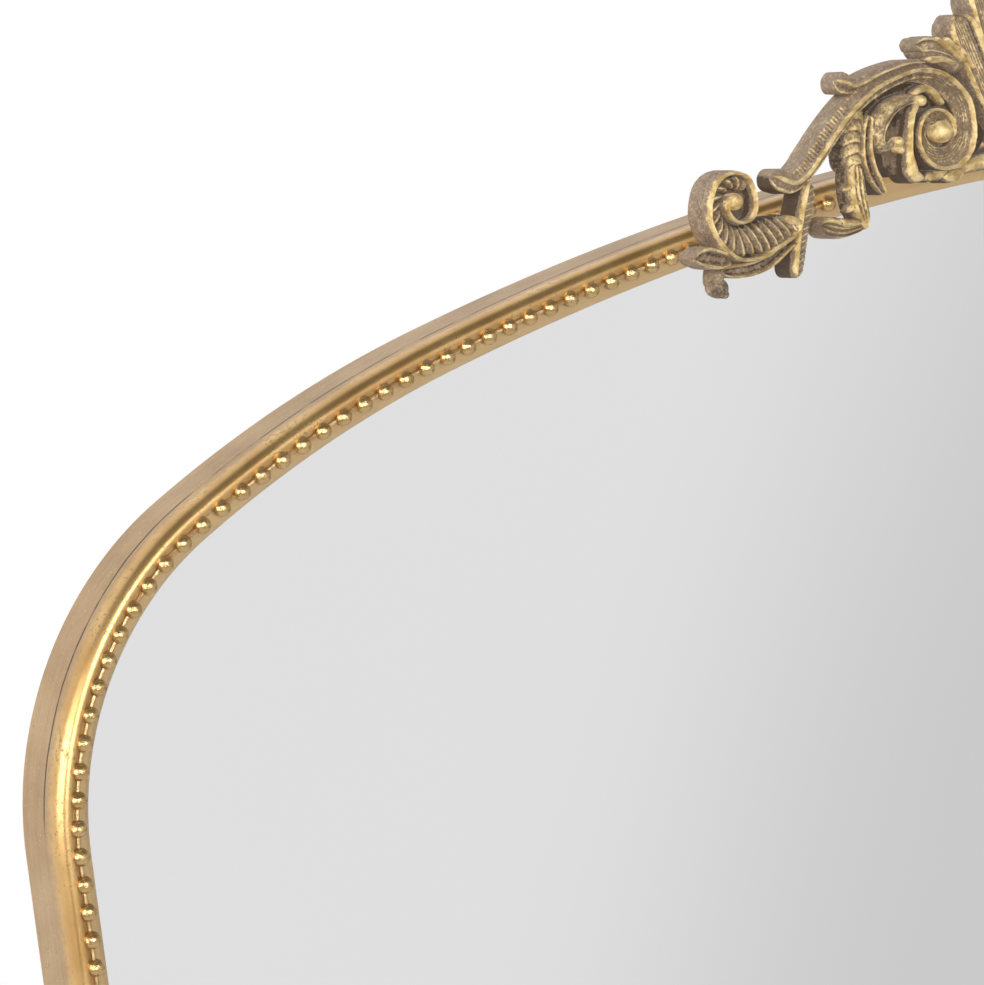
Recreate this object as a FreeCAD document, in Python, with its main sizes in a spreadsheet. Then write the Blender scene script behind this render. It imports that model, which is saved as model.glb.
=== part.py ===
import FreeCAD, Part
import math
import os
import Sketcher

# A wide baroque wall mirror: a slender gilt frame with an arched top and round shoulders, a row of
# pearls, a pierced scrollwork crest and the glass, board and hangers behind.
# +X is right as seen from the front, +Y points into the wall, +Z is up.
# The origin lies on the wall, midway between the two hooks that the mirror hangs on.
# The frame line is the line through the pearls' centres: "out" is measured from it away from the
# glass, "depth" from the pearls' centre plane towards the wall.

DRIVING_SIZES = [
    ("overall_width", 914, "outer width of the frame"),
    ("frame_height", 560, "outer height of the frame without the crest"),
    ("top_angle", 13.34, "slope in degrees where the flat arch at the top meets the haunch"),
    ("haunch_radius", 474, "frame line, rounder arch beside it"),
    ("haunch_angle", 27.4, "slope in degrees where the haunch meets the shoulder"),
    ("shoulder_radius", 116, "frame line, round shoulder"),
    ("corner_radius", 60, "frame line, lower corner"),
    ("hook_below_shoulder", 46, "wall hooks below the end of the shoulder"),
    ("wall_out", 7.3, "outer wall from the frame line"),
    ("lip_reach", 6.9, "inner edge of the lip from the frame line"),
    ("lip_drop", 5.8, "depth of the lip's edge"),
    ("seat_drop", 1.7, "depth of the flat that the pearls sit on"),
    ("seat_half", 3.2, "frame line to the inner edge of that flat"),
    ("torus_radius", 2.1, "round bead along the outer edge"),
    ("moulding_depth", 10.5, "depth of the seam between moulding and rail"),
    ("rail_depth", 15.7, "rail behind the moulding"),
    ("rail_inset", 2.5, "rail's inner face from the frame line"),
    ("pearl_radius", 2.85, "one pearl"),
    ("pearl_front_radius", 1.7, "flat front of one pearl"),
    ("pearl_pitch", 9.46, "pearl to pearl"),
    ("bare_length", 100, "half of the stretch without pearls under the crest"),
    ("glass_play", 0.8, "glass and board to rail"),
    ("glass_thickness", 4, "mirror glass"),
    ("board_thickness", 3, "backing board"),
    ("bumper_height", 7, "wall bumper"),
    ("bumper_radius", 4.5, "wall bumper"),
    ("bumper_setback", 30, "bumper from the end of the straight bottom rail"),
    ("crest_half_width", 180, "middle of the crest to its tip"),
    ("crest_band", 9.5, "widest scroll band"),
    ("crest_depth", 14, "flat back of the crest to the highest ridge"),
    ("clip_width", 10, "offset clip along the rail"),
    ("clip_sheet", 1.2, "sheet of the offset clip"),
    ("clip_foot", 8, "clip's foot on the rail"),
    ("clip_toe", 10, "clip's toe on the board"),
    ("clip_bottom_place", 230, "lower clips from the middle"),
    ("clip_play", 0.2, "clip's web to the rail's inner face"),
    ("clip_screw_radius", 1.2, "clip screw"),
    ("clip_screw_length", 9, "clip screw in the rail"),
    ("clip_head_radius", 2.4, "clip screw head"),
    ("clip_head_height", 1.4, "clip screw head"),
    ("strap_width", 7, "hanger strap"),
    ("strap_out", 0.6, "middle of the hanger strap outside the frame line"),
    ("strap_length", 30, "hanger strap below its eye"),
    ("strap_sheet", 1.5, "sheet of the hanger strap"),
    ("ring_wire_radius", 1.2, "wire of the hanger ring"),
    ("ring_play", 0.3, "ring wire in the strap's eye"),
    ("ring_side_play", 0.6, "ring beside the strap"),
    ("ring_leg", 5, "straight leg of the ring"),
    ("strap_screw_drop", 21, "strap screw below the eye"),
    ("strap_screw_radius", 1.5, "strap screw"),
    ("strap_screw_length", 12, "strap screw in the rail"),
    ("strap_head_radius", 2.9, "strap screw head"),
    ("strap_head_height", 1.6, "strap screw head"),
    ("crest_screw_radius", 1.5, "crest screw"),
    ("crest_screw_grip", 7, "crest screw in the crest"),
    ("crest_head_radius", 2.9, "crest screw head"),
    ("crest_head_height", 1.7, "crest screw head, sunk in the rail"),
    ("crest_screw_near", 20, "inner crest screws from the middle"),
    ("crest_screw_out", 1.4, "crest screws outside the frame line"),
]

# Sizes that follow from the driving ones. The arch closes on the given width: the radius of the flat
# arch at the top comes out of the width, the slopes and the other two radii.
DERIVED_SIZES = [
    ("half_line", "overall_width / 2 - wall_out"),
    ("shoulder_centre_x", "half_line - shoulder_radius"),
    ("haunch_centre_x", "shoulder_centre_x - (haunch_radius - shoulder_radius) * sin(haunch_angle)"),
    ("top_radius", "haunch_radius + haunch_centre_x / sin(top_angle)"),
    ("haunch_sweep", "haunch_angle - top_angle"),
    ("shoulder_sweep", "90 - haunch_angle"),
    ("haunch_centre_z", "(top_radius - haunch_radius) * cos(top_angle) - top_radius"),
    ("shoulder_centre_z", "haunch_centre_z + (haunch_radius - shoulder_radius) * cos(haunch_angle)"),
    ("hook_drop", "hook_below_shoulder - shoulder_centre_z"),
    ("bottom_z", "2 * wall_out - frame_height"),
    ("corner_centre_x", "half_line - corner_radius"),
    ("corner_centre_z", "bottom_z + corner_radius"),
    ("side_length", "shoulder_centre_z - corner_centre_z"),
    ("bottom_length", "2 * corner_centre_x"),
    ("torus_inner", "wall_out - 2 * torus_radius"),
    ("back_depth", "moulding_depth + rail_depth"),
    ("pearl_plane_y", "-(bumper_height + back_depth)"),
    ("rail_middle_out", "(wall_out - rail_inset) / 2"),
    ("eye_radius", "ring_wire_radius + ring_play + strap_sheet"),
    ("eye_y", "eye_radius - bumper_height"),
    ("ring_half", "strap_width / 2 + ring_side_play + ring_wire_radius"),
    ("eye_z", "-(ring_leg + ring_half - ring_wire_radius)"),
    ("strap_x", "half_line + strap_out"),
    ("clip_step", "rail_depth - glass_thickness - board_thickness"),
]

doc = FreeCAD.newDocument("baroque_mirror")
sheet = doc.addObject("Spreadsheet::Sheet", "sizes")
MIRROR_NORMAL = FreeCAD.Vector(1, 0, 0)
WALLWARD = FreeCAD.Vector(0, 1, 0)
TURN_TO_WALL = FreeCAD.Rotation(FreeCAD.Vector(1, 0, 0), -90)
TURN_TO_SIDE = FreeCAD.Rotation(FreeCAD.Vector(0, 1, 0), 90)


def fill_sheet():
    row = 1
    for alias, value, meaning in DRIVING_SIZES:
        sheet.set(f"A{row}", meaning)
        sheet.set(f"B{row}", str(value))
        sheet.setAlias(f"B{row}", alias)
        row += 1
    for alias, formula in DERIVED_SIZES:
        sheet.set(f"A{row}", alias)
        sheet.set(f"B{row}", "=" + formula)
        sheet.setAlias(f"B{row}", alias)
        row += 1
    doc.recompute()


def size(alias):
    return float(getattr(sheet, alias))


def bind(thing, bindings):
    for prop, expression in bindings.items():
        thing.setExpression(prop, expression)


# Frame line

def left_pieces(out):
    """The left half of the line that runs at the given distance outside the frame line.

    Each piece is an arc (centre x, centre z, radius, start angle, end angle) or a straight run
    (start x, start z, end x, end z); angles are degrees from +Z towards -X.
    """
    top = ("arc", 0, -size("top_radius"), size("top_radius") + out, 0, size("top_angle"))
    haunch = ("arc", -size("haunch_centre_x"), size("haunch_centre_z"), size("haunch_radius") + out,
              size("top_angle"), size("haunch_angle"))
    shoulder = ("arc", -size("shoulder_centre_x"), size("shoulder_centre_z"),
                size("shoulder_radius") + out, size("haunch_angle"), 90)
    side_x = -size("half_line") - out
    side = ("run", side_x, size("shoulder_centre_z"), side_x, size("corner_centre_z"))
    corner = ("arc", -size("corner_centre_x"), size("corner_centre_z"), size("corner_radius") + out,
              90, 180)
    bottom_z = size("bottom_z") - out
    bottom = ("run", -size("corner_centre_x"), bottom_z, 0, bottom_z)
    return [top, haunch, shoulder, side, corner, bottom]


def piece_length(piece):
    if piece[0] == "arc":
        return piece[3] * math.radians(piece[5] - piece[4])
    return math.hypot(piece[3] - piece[1], piece[4] - piece[2])


def point_on(piece, distance):
    """Place (x, z) and outward angle, in degrees from +Z towards -X, at a distance along a piece."""
    share = distance / piece_length(piece)
    if piece[0] == "arc":
        angle = piece[4] + share * (piece[5] - piece[4])
        x = piece[1] - piece[3] * math.sin(math.radians(angle))
        z = piece[2] + piece[3] * math.cos(math.radians(angle))
        return x, z, angle
    x = piece[1] + share * (piece[3] - piece[1])
    z = piece[2] + share * (piece[4] - piece[2])
    return x, z, 90 if piece[1] == piece[3] else 180


def world(x, depth, z):
    """A point of the frame, given from the top of the frame line, in the part's own axes."""
    return FreeCAD.Vector(x, size("pearl_plane_y") + depth, z + size("hook_drop"))


# Frame timber

# Corners of the cross sections: depth, distance from the frame line, its sign (outside is positive)
# and the form of the side from this corner to the next.
MOULDING_PROFILE = [
    ("moulding_depth", "lip_reach", -1, "straight"),
    ("lip_drop", "lip_reach", -1, "straight"),
    ("seat_drop", "seat_half", -1, "straight"),
    ("seat_drop", "torus_inner", 1, "half_round"),
    ("seat_drop", "wall_out", 1, "straight"),
    ("moulding_depth", "wall_out", 1, "straight"),
]
RAIL_PROFILE = [
    ("moulding_depth", "rail_inset", -1, "straight"),
    ("moulding_depth", "wall_out", 1, "straight"),
    ("back_depth", "wall_out", 1, "straight"),
    ("back_depth", "rail_inset", -1, "straight"),
]


def draw_sides(sketch, places, forms):
    """The outline's sides, and for each the numbers of its start and end point in the sketch."""
    ends = []
    for side, start in enumerate(places):
        end = places[(side + 1) % len(places)]
        if forms[side] == "straight":
            sketch.addGeometry(Part.LineSegment(start, end))
            ends.append((1, 2))
            continue
        crown = (start + end) / 2 - FreeCAD.Vector((end - start).Length / 2, 0, 0)
        sketch.addGeometry(Part.Arc(start, crown, end))
        to_first = (sketch.getPoint(side, 1) - start).Length
        to_second = (sketch.getPoint(side, 2) - start).Length
        ends.append((1, 2) if to_first < to_second else (2, 1))
    return ends


def draw_profile(sketch, corners, radius):
    """Closed outline in (depth, out), lifted by the radius of an arc that it will turn about."""
    lift = size(radius) if radius else 0
    lifted = f"sizes.{radius} + " if radius else ""
    places = [FreeCAD.Vector(size(depth), lift + sign * size(out), 0) for depth, out, sign, form in corners]
    ends = draw_sides(sketch, places, [corner[3] for corner in corners])

    def tie(direction, side, point, value, expression):
        number = sketch.addConstraint(Sketcher.Constraint(direction, -1, 1, side, point, value))
        sketch.setExpression(f"Constraints[{number}]", expression)

    for side in range(len(places)):
        following = (side + 1) % len(places)
        sketch.addConstraint(Sketcher.Constraint(
            "Coincident", side, ends[side][1], following, ends[following][0]))
    for side, (depth, out, sign, form) in enumerate(corners):
        tie("DistanceX", side, ends[side][0], places[side].x, f"sizes.{depth}")
        tie("DistanceY", side, ends[side][0], places[side].y, f"{lifted}{sign} * sizes.{out}")
        if form == "half_round":
            tie("DistanceX", side, 3, places[side].x, f"sizes.{depth}")


def profile_sketch(body, name, profile, centre_x, centre_z, angle, radius):
    """Profile across the frame at an outward angle, with its origin at an arc's centre."""
    plane = [feature for feature in body.Origin.OriginFeatures if feature.Role == "YZ_Plane"][0]
    sketch = body.newObject("Sketcher::SketchObject", name)
    sketch.AttachmentSupport = [(plane, "")]
    sketch.MapMode = "FlatFace"
    sketch.AttachmentOffset = FreeCAD.Placement(
        FreeCAD.Vector(), FreeCAD.Rotation(FreeCAD.Vector(1, 0, 0), 0))
    draw_profile(sketch, profile, radius)
    bind(sketch, {
        "AttachmentOffset.Base.y": centre_z,
        "AttachmentOffset.Base.z": centre_x,
        "AttachmentOffset.Rotation.Angle": f"-1 * ({angle})",
    })
    return sketch


def add_arc(body, profile, name, centre_x, centre_z, start, sweep, radius, both_ways=False):
    sketch = profile_sketch(body, name + "_profile", profile, centre_x, centre_z, start, radius)
    arc = body.newObject("PartDesign::Revolution", name)
    arc.Profile = sketch
    arc.ReferenceAxis = (sketch, ["H_Axis"])
    arc.Reversed = True
    arc.Midplane = both_ways
    arc.setExpression("Angle", sweep)
    return arc


def add_run(body, profile, name, start_x, start_z, angle, length, both_ways=False):
    sketch = profile_sketch(body, name + "_profile", profile, start_x, start_z, angle, None)
    run = body.newObject("PartDesign::Pad", name)
    run.Profile = sketch
    run.Reversed = True
    run.Midplane = both_ways
    run.setExpression("Length", length)
    return run


def add_half_top(body, profile):
    add_arc(body, profile, body.Name + "_arch", "0", "-sizes.top_radius", "0", "sizes.top_angle", "top_radius")


def add_whole_top(body, profile):
    add_arc(body, profile, body.Name + "_arch", "0", "-sizes.top_radius", "0", "2 * sizes.top_angle",
            "top_radius", True)


def add_haunch(body, profile):
    add_arc(body, profile, body.Name + "_haunch", "-sizes.haunch_centre_x", "sizes.haunch_centre_z",
            "sizes.top_angle", "sizes.haunch_sweep", "haunch_radius")


def add_shoulder(body, profile):
    add_arc(body, profile, body.Name + "_shoulder", "-sizes.shoulder_centre_x", "sizes.shoulder_centre_z",
            "sizes.haunch_angle", "sizes.shoulder_sweep", "shoulder_radius")


def add_side(body, profile):
    add_run(body, profile, body.Name + "_side", "-sizes.half_line", "sizes.shoulder_centre_z",
            "90", "sizes.side_length")


def add_corner(body, profile):
    add_arc(body, profile, body.Name + "_corner", "-sizes.corner_centre_x", "sizes.corner_centre_z",
            "90", "90", "corner_radius")


def add_bottom(body, profile):
    add_run(body, profile, body.Name + "_run", "0", "sizes.bottom_z", "180", "sizes.bottom_length", True)


def timber(name, profile, makers):
    """One piece of the frame, in the frame's own axes, hung at its place by its body."""
    body = doc.addObject("PartDesign::Body", name)
    doc.recompute()
    for maker in makers:
        maker(body, profile)
    bind(body, {"Placement.Base.y": "sizes.pearl_plane_y", "Placement.Base.z": "sizes.hook_drop"})
    doc.recompute()
    return body


def mirrored(source, name):
    copy = doc.addObject("Part::Mirroring", name)
    copy.Source = source
    copy.Normal = MIRROR_NORMAL
    copy.Label = name
    return copy


def bored(source, screws, name):
    """A piece with the holes that its screws sit in."""
    cut = doc.addObject("Part::Cut", name)
    cut.Base = source
    cut.Tool = screws
    cut.Label = name
    return cut


# Solids with flat facets

def sewn_solid(faces):
    shell = Part.makeShell([Part.Face(Part.makePolygon(corners + corners[:1])) for corners in faces])
    shell.sewShape()
    return Part.makeSolid(shell)


def flat_solid(faces):
    """A solid with flat faces, given as lists of corners that all run the same way round."""
    solid = sewn_solid(faces)
    if solid.Volume < 0:
        solid = sewn_solid([corners[::-1] for corners in faces])
    return solid


def stacked_solid(rings):
    """A closed solid through rings with the same number of corners."""
    faces = [rings[0], rings[-1]]
    for lower, upper in zip(rings, rings[1:]):
        for corner in range(len(lower)):
            following = (corner + 1) % len(lower)
            faces.append([lower[corner], lower[following], upper[following], upper[corner]])
    return flat_solid(faces)


def corner_ring(x, z, radius, depth, sides, turn):
    ring = []
    for corner in range(sides):
        angle = math.radians(turn + corner * 360 / sides)
        ring.append(world(x + radius * math.sin(angle), depth, z + radius * math.cos(angle)))
    return ring


# Pearls

PEARL_SIDES = 6


def pearl(x, z, angle):
    base = corner_ring(x, z, size("pearl_radius"), size("seat_drop"), PEARL_SIDES, -angle)
    front = corner_ring(x, z, size("pearl_front_radius"), -size("pearl_radius"), PEARL_SIDES, -angle)
    return stacked_solid([base, front])


def point_along(pieces, distance):
    for piece in pieces:
        if distance <= piece_length(piece):
            break
        distance -= piece_length(piece)
    return point_on(piece, distance)


def even_pearls(pieces, bare):
    """Number of pearls on a run of pieces behind a bare stretch, and the step that spreads them evenly."""
    length = sum(piece_length(piece) for piece in pieces) - bare
    count = round(length / size("pearl_pitch"))
    return count, length / count


def pearls_along(pieces, bare):
    """Pearls at an even step, half a step in from the ends of the run of pieces."""
    count, step = even_pearls(pieces, bare)
    return [pearl(*point_along(pieces, bare + (number + 0.5) * step)) for number in range(count)]


def solids_group(name, solids):
    group = doc.addObject("Part::Feature", name)
    group.Shape = Part.makeCompound(solids)
    group.Label = name
    return group


def make_pearls():
    top, haunch, shoulder, side, corner, bottom = left_pieces(0)
    top_left = solids_group("pearls_top_left", pearls_along([top, haunch], size("bare_length")))
    left = solids_group("pearls_left", pearls_along([shoulder, side, corner], 0))
    whole_bottom = ("run", bottom[1], bottom[2], -bottom[1], bottom[2])
    low = solids_group("pearls_bottom", pearls_along([whole_bottom], 0))
    return [top_left, mirrored(top_left, "pearls_top_right"), left, mirrored(left, "pearls_right"), low]


# Glass and board

def pane_outline(out):
    """Closed wire round the glass at a distance outside the frame line."""
    edges = []
    for piece in left_pieces(out):
        length = piece_length(piece)
        start, middle, end = [point_on(piece, share * length)[:2] for share in (0, 0.5, 1)]
        for side in (1, -1):
            ends = [world(side * x, size("moulding_depth"), z) for x, z in (start, middle, end)]
            if piece[0] == "arc":
                edges.append(Part.Arc(*ends).toShape())
            else:
                edges.append(Part.makeLine(ends[0], ends[2]))
    return Part.Wire(Part.__sortEdges__(edges))


def make_pane(name, thickness, behind):
    outline = doc.addObject("Part::Feature", name + "_outline")
    outline.Shape = pane_outline(-size("rail_inset") - size("glass_play"))
    pane = doc.addObject("Part::Extrusion", name)
    pane.Base = outline
    pane.DirMode = "Custom"
    pane.Dir = WALLWARD
    pane.Solid = True
    pane.setExpression("LengthFwd", f"sizes.{thickness}")
    if behind:
        outline.setExpression("Placement.Base.y", f"sizes.{behind}")
    pane.Label = name
    return pane


# Crest

# Places on the crest are shares of its half width: across from the middle, up from the top of the
# frame line, and the width there as a share of the widest band.
MAIN_SCROLL_SHARES = [
    (-0.795, 0.055, 0.75), (-0.745, 0.036, 0.75), (-0.70, 0.033, 0.75), (-0.655, 0.053, 0.85),
    (-0.61, 0.094, 1.0), (-0.565, 0.136, 1.0), (-0.515, 0.175, 1.0), (-0.465, 0.203, 1.0),
    (-0.415, 0.219, 0.95), (-0.365, 0.222, 0.9), (-0.315, 0.214, 0.85), (-0.27, 0.188, 0.8),
]
LEFT_SWEEP_SHARES = [(-0.70, -0.055, 0.45), (-0.74, -0.08, 0.6), (-0.80, -0.094, 0.65)]
LEAF_SHARES = {
    "side_lobe": [(-0.88, -0.095, 0.6), (-0.935, -0.087, 0.7), (-0.995, -0.078, 0.15)],
    "under_leaf": [(-0.72, -0.09, 0.5), (-0.80, -0.118, 0.75), (-0.88, -0.122, 0.5), (-0.94, -0.112, 0.15)],
    "under_curl": [(-0.90, -0.12, 0.4), (-0.93, -0.135, 0.4), (-0.955, -0.15, 0.5)],
    "foot": [(-0.66, 0.045, 0.5), (-0.695, -0.01, 0.9), (-0.725, -0.075, 0.85), (-0.745, -0.125, 0.75),
             (-0.765, -0.145, 0.35)],
    "upper_leaf": [(-0.50, 0.185, 0.5), (-0.55, 0.203, 0.6), (-0.61, 0.222, 0.75)],
    "stem": [(-0.53, 0.165, 0.5), (-0.555, 0.10, 0.85), (-0.555, 0.02, 0.85), (-0.58, -0.038, 0.9),
             (-0.63, -0.064, 0.75), (-0.68, -0.07, 0.35)],
    "stem_lobe": [(-0.56, -0.02, 0.5), (-0.548, -0.06, 0.65), (-0.555, -0.085, 0.35)],
    "inner_leaf": [(-0.50, 0.16, 0.4), (-0.525, 0.08, 0.7), (-0.515, 0.02, 0.6), (-0.485, -0.02, 0.2)],
    "small_scroll": [(-0.355, 0.157, 0.35), (-0.42, 0.166, 0.45), (-0.475, 0.135, 0.55),
                     (-0.482, 0.09, 0.5), (-0.455, 0.067, 0.4), (-0.437, 0.088, 0.25)],
    "outer_stem": [(-0.37, 0.16, 0.4), (-0.402, 0.09, 0.5), (-0.39, 0.02, 0.5), (-0.33, -0.002, 0.45)],
    "loop": [(-0.355, 0.16, 0.3), (-0.325, 0.178, 0.35), (-0.29, 0.155, 0.35), (-0.27, 0.12, 0.25)],
    "tuft": [(-0.25, 0.225, 0.6), (-0.30, 0.255, 0.9), (-0.395, 0.27, 0.6)],
    "base": [(0.03, 0.012, 0.85), (-0.12, 0.012, 0.85), (-0.22, 0.008, 0.7), (-0.32, 0.002, 0.5)],
}
KNOB_SHARES = [
    (-0.795, 0.055, 0.024), (-0.955, -0.15, 0.021), (-0.61, 0.222, 0.025), (-0.355, 0.157, 0.017),
    (-0.395, 0.27, 0.02), (-0.68, -0.07, 0.016), (-0.308, 0.083, 0.024), (-0.87, 0.014, 0.024),
]
# Volutes: centre, first and last radius as shares of the half width, then the width shares.
RIGHT_VOLUTE_SHARES = (-0.308, 0.083, 0.099, 0.03, 0.75, 0.4)
RIGHT_VOLUTE_TURN = (40, -335)
LEFT_VOLUTE_SHARES = (-0.87, 0.014, 0.099, 0.028, 0.65, 0.35)
LEFT_VOLUTE_TURN = (-97, -430)
VOLUTE_STEPS = 14
LEAF_STEPS = 6
# Palmette: ribs fan out from a point far below, on the middle line, and start at the crest's foot.
PALMETTE_CENTRE_SHARE = -0.62
RIB_START_SHARE = 0.64
RIB_ANGLES = (0, 4.1, 8.3, 12.4, 16.4)
RIB_LENGTH_SHARES = (1.12, 1.1, 1.06, 1.02, 0.98)
RIB_WIDTH_SHARES = ((0, 1.0), (0.45, 1.25), (0.85, 1.5), (1.0, 1.1))
RIB_KNOB_SHARE = 0.029
CREST_SHOULDER_SHARE = 0.68
LEAF_RIDGE_SHARE = 0.86
KNOB_RIDGE_SHARE = 1.0
KNOB_SIDES = 10
KNOB_FRONT_SHARE = 0.6


def crest_place(across, up):
    half = size("crest_half_width")
    return FreeCAD.Vector(across * half, up * half, 0)


def volute(shares, turn):
    """Points and widths of a spiral that winds in about its centre."""
    across, up, first, last, wide, narrow = shares
    points = []
    for step in range(VOLUTE_STEPS + 1):
        way = step / VOLUTE_STEPS
        angle = math.radians(turn[0] + way * (turn[1] - turn[0]))
        radius = first + way * (last - first)
        width = wide + way * (narrow - wide)
        points.append((across + radius * math.cos(angle), up + radius * math.sin(angle), width))
    return points


def smooth(points):
    """A leaf's few points, with more between them on one smooth line."""
    thinness = size("crest_band") / size("crest_half_width")
    line = Part.BSplineCurve()
    line.interpolate([FreeCAD.Vector(across, up, width * thinness) for across, up, width in points])
    places = line.discretize(Number=LEAF_STEPS + 1)
    return [(place.x, place.y, place.z / thinness) for place in places]


def crest_depth_at(share):
    """Depth of a layer of the crest, whose flat back rests on the pearls' fronts."""
    return -size("pearl_radius") - share * size("crest_depth")


def ridged_band(points, ridge_share):
    """A band of changing width with upright sides and a ridge along its middle."""
    places = [crest_place(across, up) for across, up, width in points]
    back = crest_depth_at(0)
    shoulder = crest_depth_at(CREST_SHOULDER_SHARE * ridge_share)
    ridge = crest_depth_at(ridge_share)
    sections = []
    for number, place in enumerate(places):
        before = places[max(number - 1, 0)]
        after = places[min(number + 1, len(places) - 1)]
        along = (after - before).normalize()
        half = FreeCAD.Vector(-along.y, along.x, 0) * (points[number][2] * size("crest_band") / 2)
        left = place + half
        right = place - half
        sections.append([
            world(left.x, back, left.y), world(right.x, back, right.y),
            world(right.x, shoulder, right.y), world(place.x, ridge, place.y),
            world(left.x, shoulder, left.y),
        ])
    faces = [sections[0], sections[-1]]
    for here, there in zip(sections, sections[1:]):
        faces.append([here[0], here[1], there[1], there[0]])
        faces.append([here[1], here[2], there[2], there[1]])
        faces.append([here[4], here[0], there[0], there[4]])
        faces.append([here[2], here[3], there[3]])
        faces.append([here[2], there[3], there[2]])
        faces.append([here[3], here[4], there[4]])
        faces.append([here[3], there[4], there[3]])
    return flat_solid(faces)


def knob(across, up, radius_share):
    place = crest_place(across, up)
    radius = radius_share * size("crest_half_width")
    shoulder = crest_depth_at(CREST_SHOULDER_SHARE * KNOB_RIDGE_SHARE)
    return stacked_solid([
        corner_ring(place.x, place.y, radius, crest_depth_at(0), KNOB_SIDES, 0),
        corner_ring(place.x, place.y, radius, shoulder, KNOB_SIDES, 0),
        corner_ring(place.x, place.y, radius * KNOB_FRONT_SHARE, crest_depth_at(KNOB_RIDGE_SHARE),
                    KNOB_SIDES, 0),
    ])


def palmette_rib(angle, length_share):
    slope = math.radians(angle)
    points = []
    for along, width in RIB_WIDTH_SHARES:
        reach = RIB_START_SHARE + along * (length_share - RIB_START_SHARE)
        points.append((-reach * math.sin(slope), PALMETTE_CENTRE_SHARE + reach * math.cos(slope), width))
    tip = points[-1]
    return [ridged_band(points, LEAF_RIDGE_SHARE), knob(tip[0], tip[1], RIB_KNOB_SHARE)]


def make_crest():
    """The casting: scrolls, leaves and knobs of the left half, their mirror images and the middle rib."""
    left = [
        ridged_band(MAIN_SCROLL_SHARES + volute(RIGHT_VOLUTE_SHARES, RIGHT_VOLUTE_TURN), 1.0),
        ridged_band(LEFT_SWEEP_SHARES + volute(LEFT_VOLUTE_SHARES, LEFT_VOLUTE_TURN), LEAF_RIDGE_SHARE),
    ]
    left += [ridged_band(smooth(points), LEAF_RIDGE_SHARE) for points in LEAF_SHARES.values()]
    left += [knob(*shares) for shares in KNOB_SHARES]
    for angle, length in zip(RIB_ANGLES[1:], RIB_LENGTH_SHARES[1:]):
        left += palmette_rib(angle, length)
    half = left[0].multiFuse(left[1:])
    other = half.mirror(FreeCAD.Vector(), MIRROR_NORMAL)
    whole = half.multiFuse([other] + palmette_rib(RIB_ANGLES[0], RIB_LENGTH_SHARES[0]))
    crest = doc.addObject("Part::Feature", "crest_casting")
    crest.Shape = whole.removeSplitter()
    return crest


# Screws and clips

CREST_SCREW_PEARLS = 3  # the outer crest screws pass between this pearl and the next
CLIP_SIDE_SHARES = (0.16, 0.77)  # side clips between the strap's end and the lower corner
CLIP_TOP_SHARE = 0.53  # upper clips between the middle and the end of the flat arch


def screw(prefix, length):
    """A screw along +Z with its head behind the origin."""
    head = Part.makeCylinder(size(prefix + "_head_radius"), size(prefix + "_head_height"),
                             FreeCAD.Vector(0, 0, -size(prefix + "_head_height")))
    shank = Part.makeCylinder(size(prefix + "_screw_radius"), length)
    return head.fuse(shank).removeSplitter()


def facing_front(x, depth, z):
    """Placement that turns +Z to the front and stands at a place on the frame."""
    return FreeCAD.Placement(world(x, depth, z), FreeCAD.Rotation(FreeCAD.Vector(1, 0, 0), 90))


def placed(shape, placement):
    copy = shape.copy()
    copy.Placement = placement
    return copy


def make_crest_screws():
    """Long screws from the rail's back through rail and moulding into the crest."""
    head = size("crest_head_height")
    bearing = size("back_depth") - head
    length = bearing - crest_depth_at(0) + size("crest_screw_grip")
    one = screw("crest", length)
    out = size("crest_screw_out")
    arch = left_pieces(0)[:2]
    count, step = even_pearls(arch, size("bare_length"))
    stops = (size("crest_screw_near"), size("bare_length") + CREST_SCREW_PEARLS * step)
    solids = []
    for distance in stops:
        x, z, angle = point_along(arch, distance)
        lean = math.radians(angle)
        for side in (-1, 1):
            place = facing_front(side * (x - out * math.sin(lean)), bearing, z + out * math.cos(lean))
            solids.append(placed(one, place))
    return solids_group("crest_screws", solids)


def clip_places():
    """Place (x, z) on the rail's inner face and outward angle of each offset clip."""
    inner = -size("rail_inset")
    top = left_pieces(inner)[0]
    side_x = size("half_line") + inner
    strap_end = size("eye_z") - size("strap_length") - size("hook_drop")
    low_z = size("bottom_z") - inner
    left = [point_on(top, CLIP_TOP_SHARE * piece_length(top)), (-size("clip_bottom_place"), low_z, 180)]
    for share in CLIP_SIDE_SHARES:
        left.append((-side_x, strap_end + share * (size("corner_centre_z") - strap_end), 90))
    return left + [(-x, z, -angle) for x, z, angle in left]


def make_clip():
    """One offset clip: foot on the rail's back, web down its inner face, toe on the board."""
    sheet_size = size("clip_sheet")
    width = size("clip_width")
    half = width / 2
    back = size("back_depth")
    board = back - size("clip_step")
    inner = -size("clip_play") - sheet_size
    foot = Part.makeBox(width, sheet_size, size("clip_foot") - inner, FreeCAD.Vector(-half, back, inner))
    web = Part.makeBox(width, back - board, sheet_size, FreeCAD.Vector(-half, board, inner))
    toe = Part.makeBox(width, sheet_size, size("clip_toe"),
                       FreeCAD.Vector(-half, board, inner - size("clip_toe")))
    return foot.multiFuse([web, toe]).removeSplitter()


def clip_frame(x, z, angle):
    return FreeCAD.Placement(world(x, 0, z), FreeCAD.Rotation(FreeCAD.Vector(0, 1, 0), -angle))


def make_clip_screws():
    one = screw("clip", size("clip_screw_length") + size("clip_sheet"))
    middle = (size("wall_out") + size("rail_inset")) / 2
    bearing = FreeCAD.Vector(0, size("back_depth") + size("clip_sheet"), middle)
    stand = FreeCAD.Placement(bearing, FreeCAD.Rotation(FreeCAD.Vector(1, 0, 0), 90))
    return solids_group("clip_screws", [placed(one, clip_frame(*place) * stand) for place in clip_places()])


def make_clips():
    one = make_clip()
    return solids_group("clip_blanks", [placed(one, clip_frame(*place)) for place in clip_places()])


# Hangers

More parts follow.
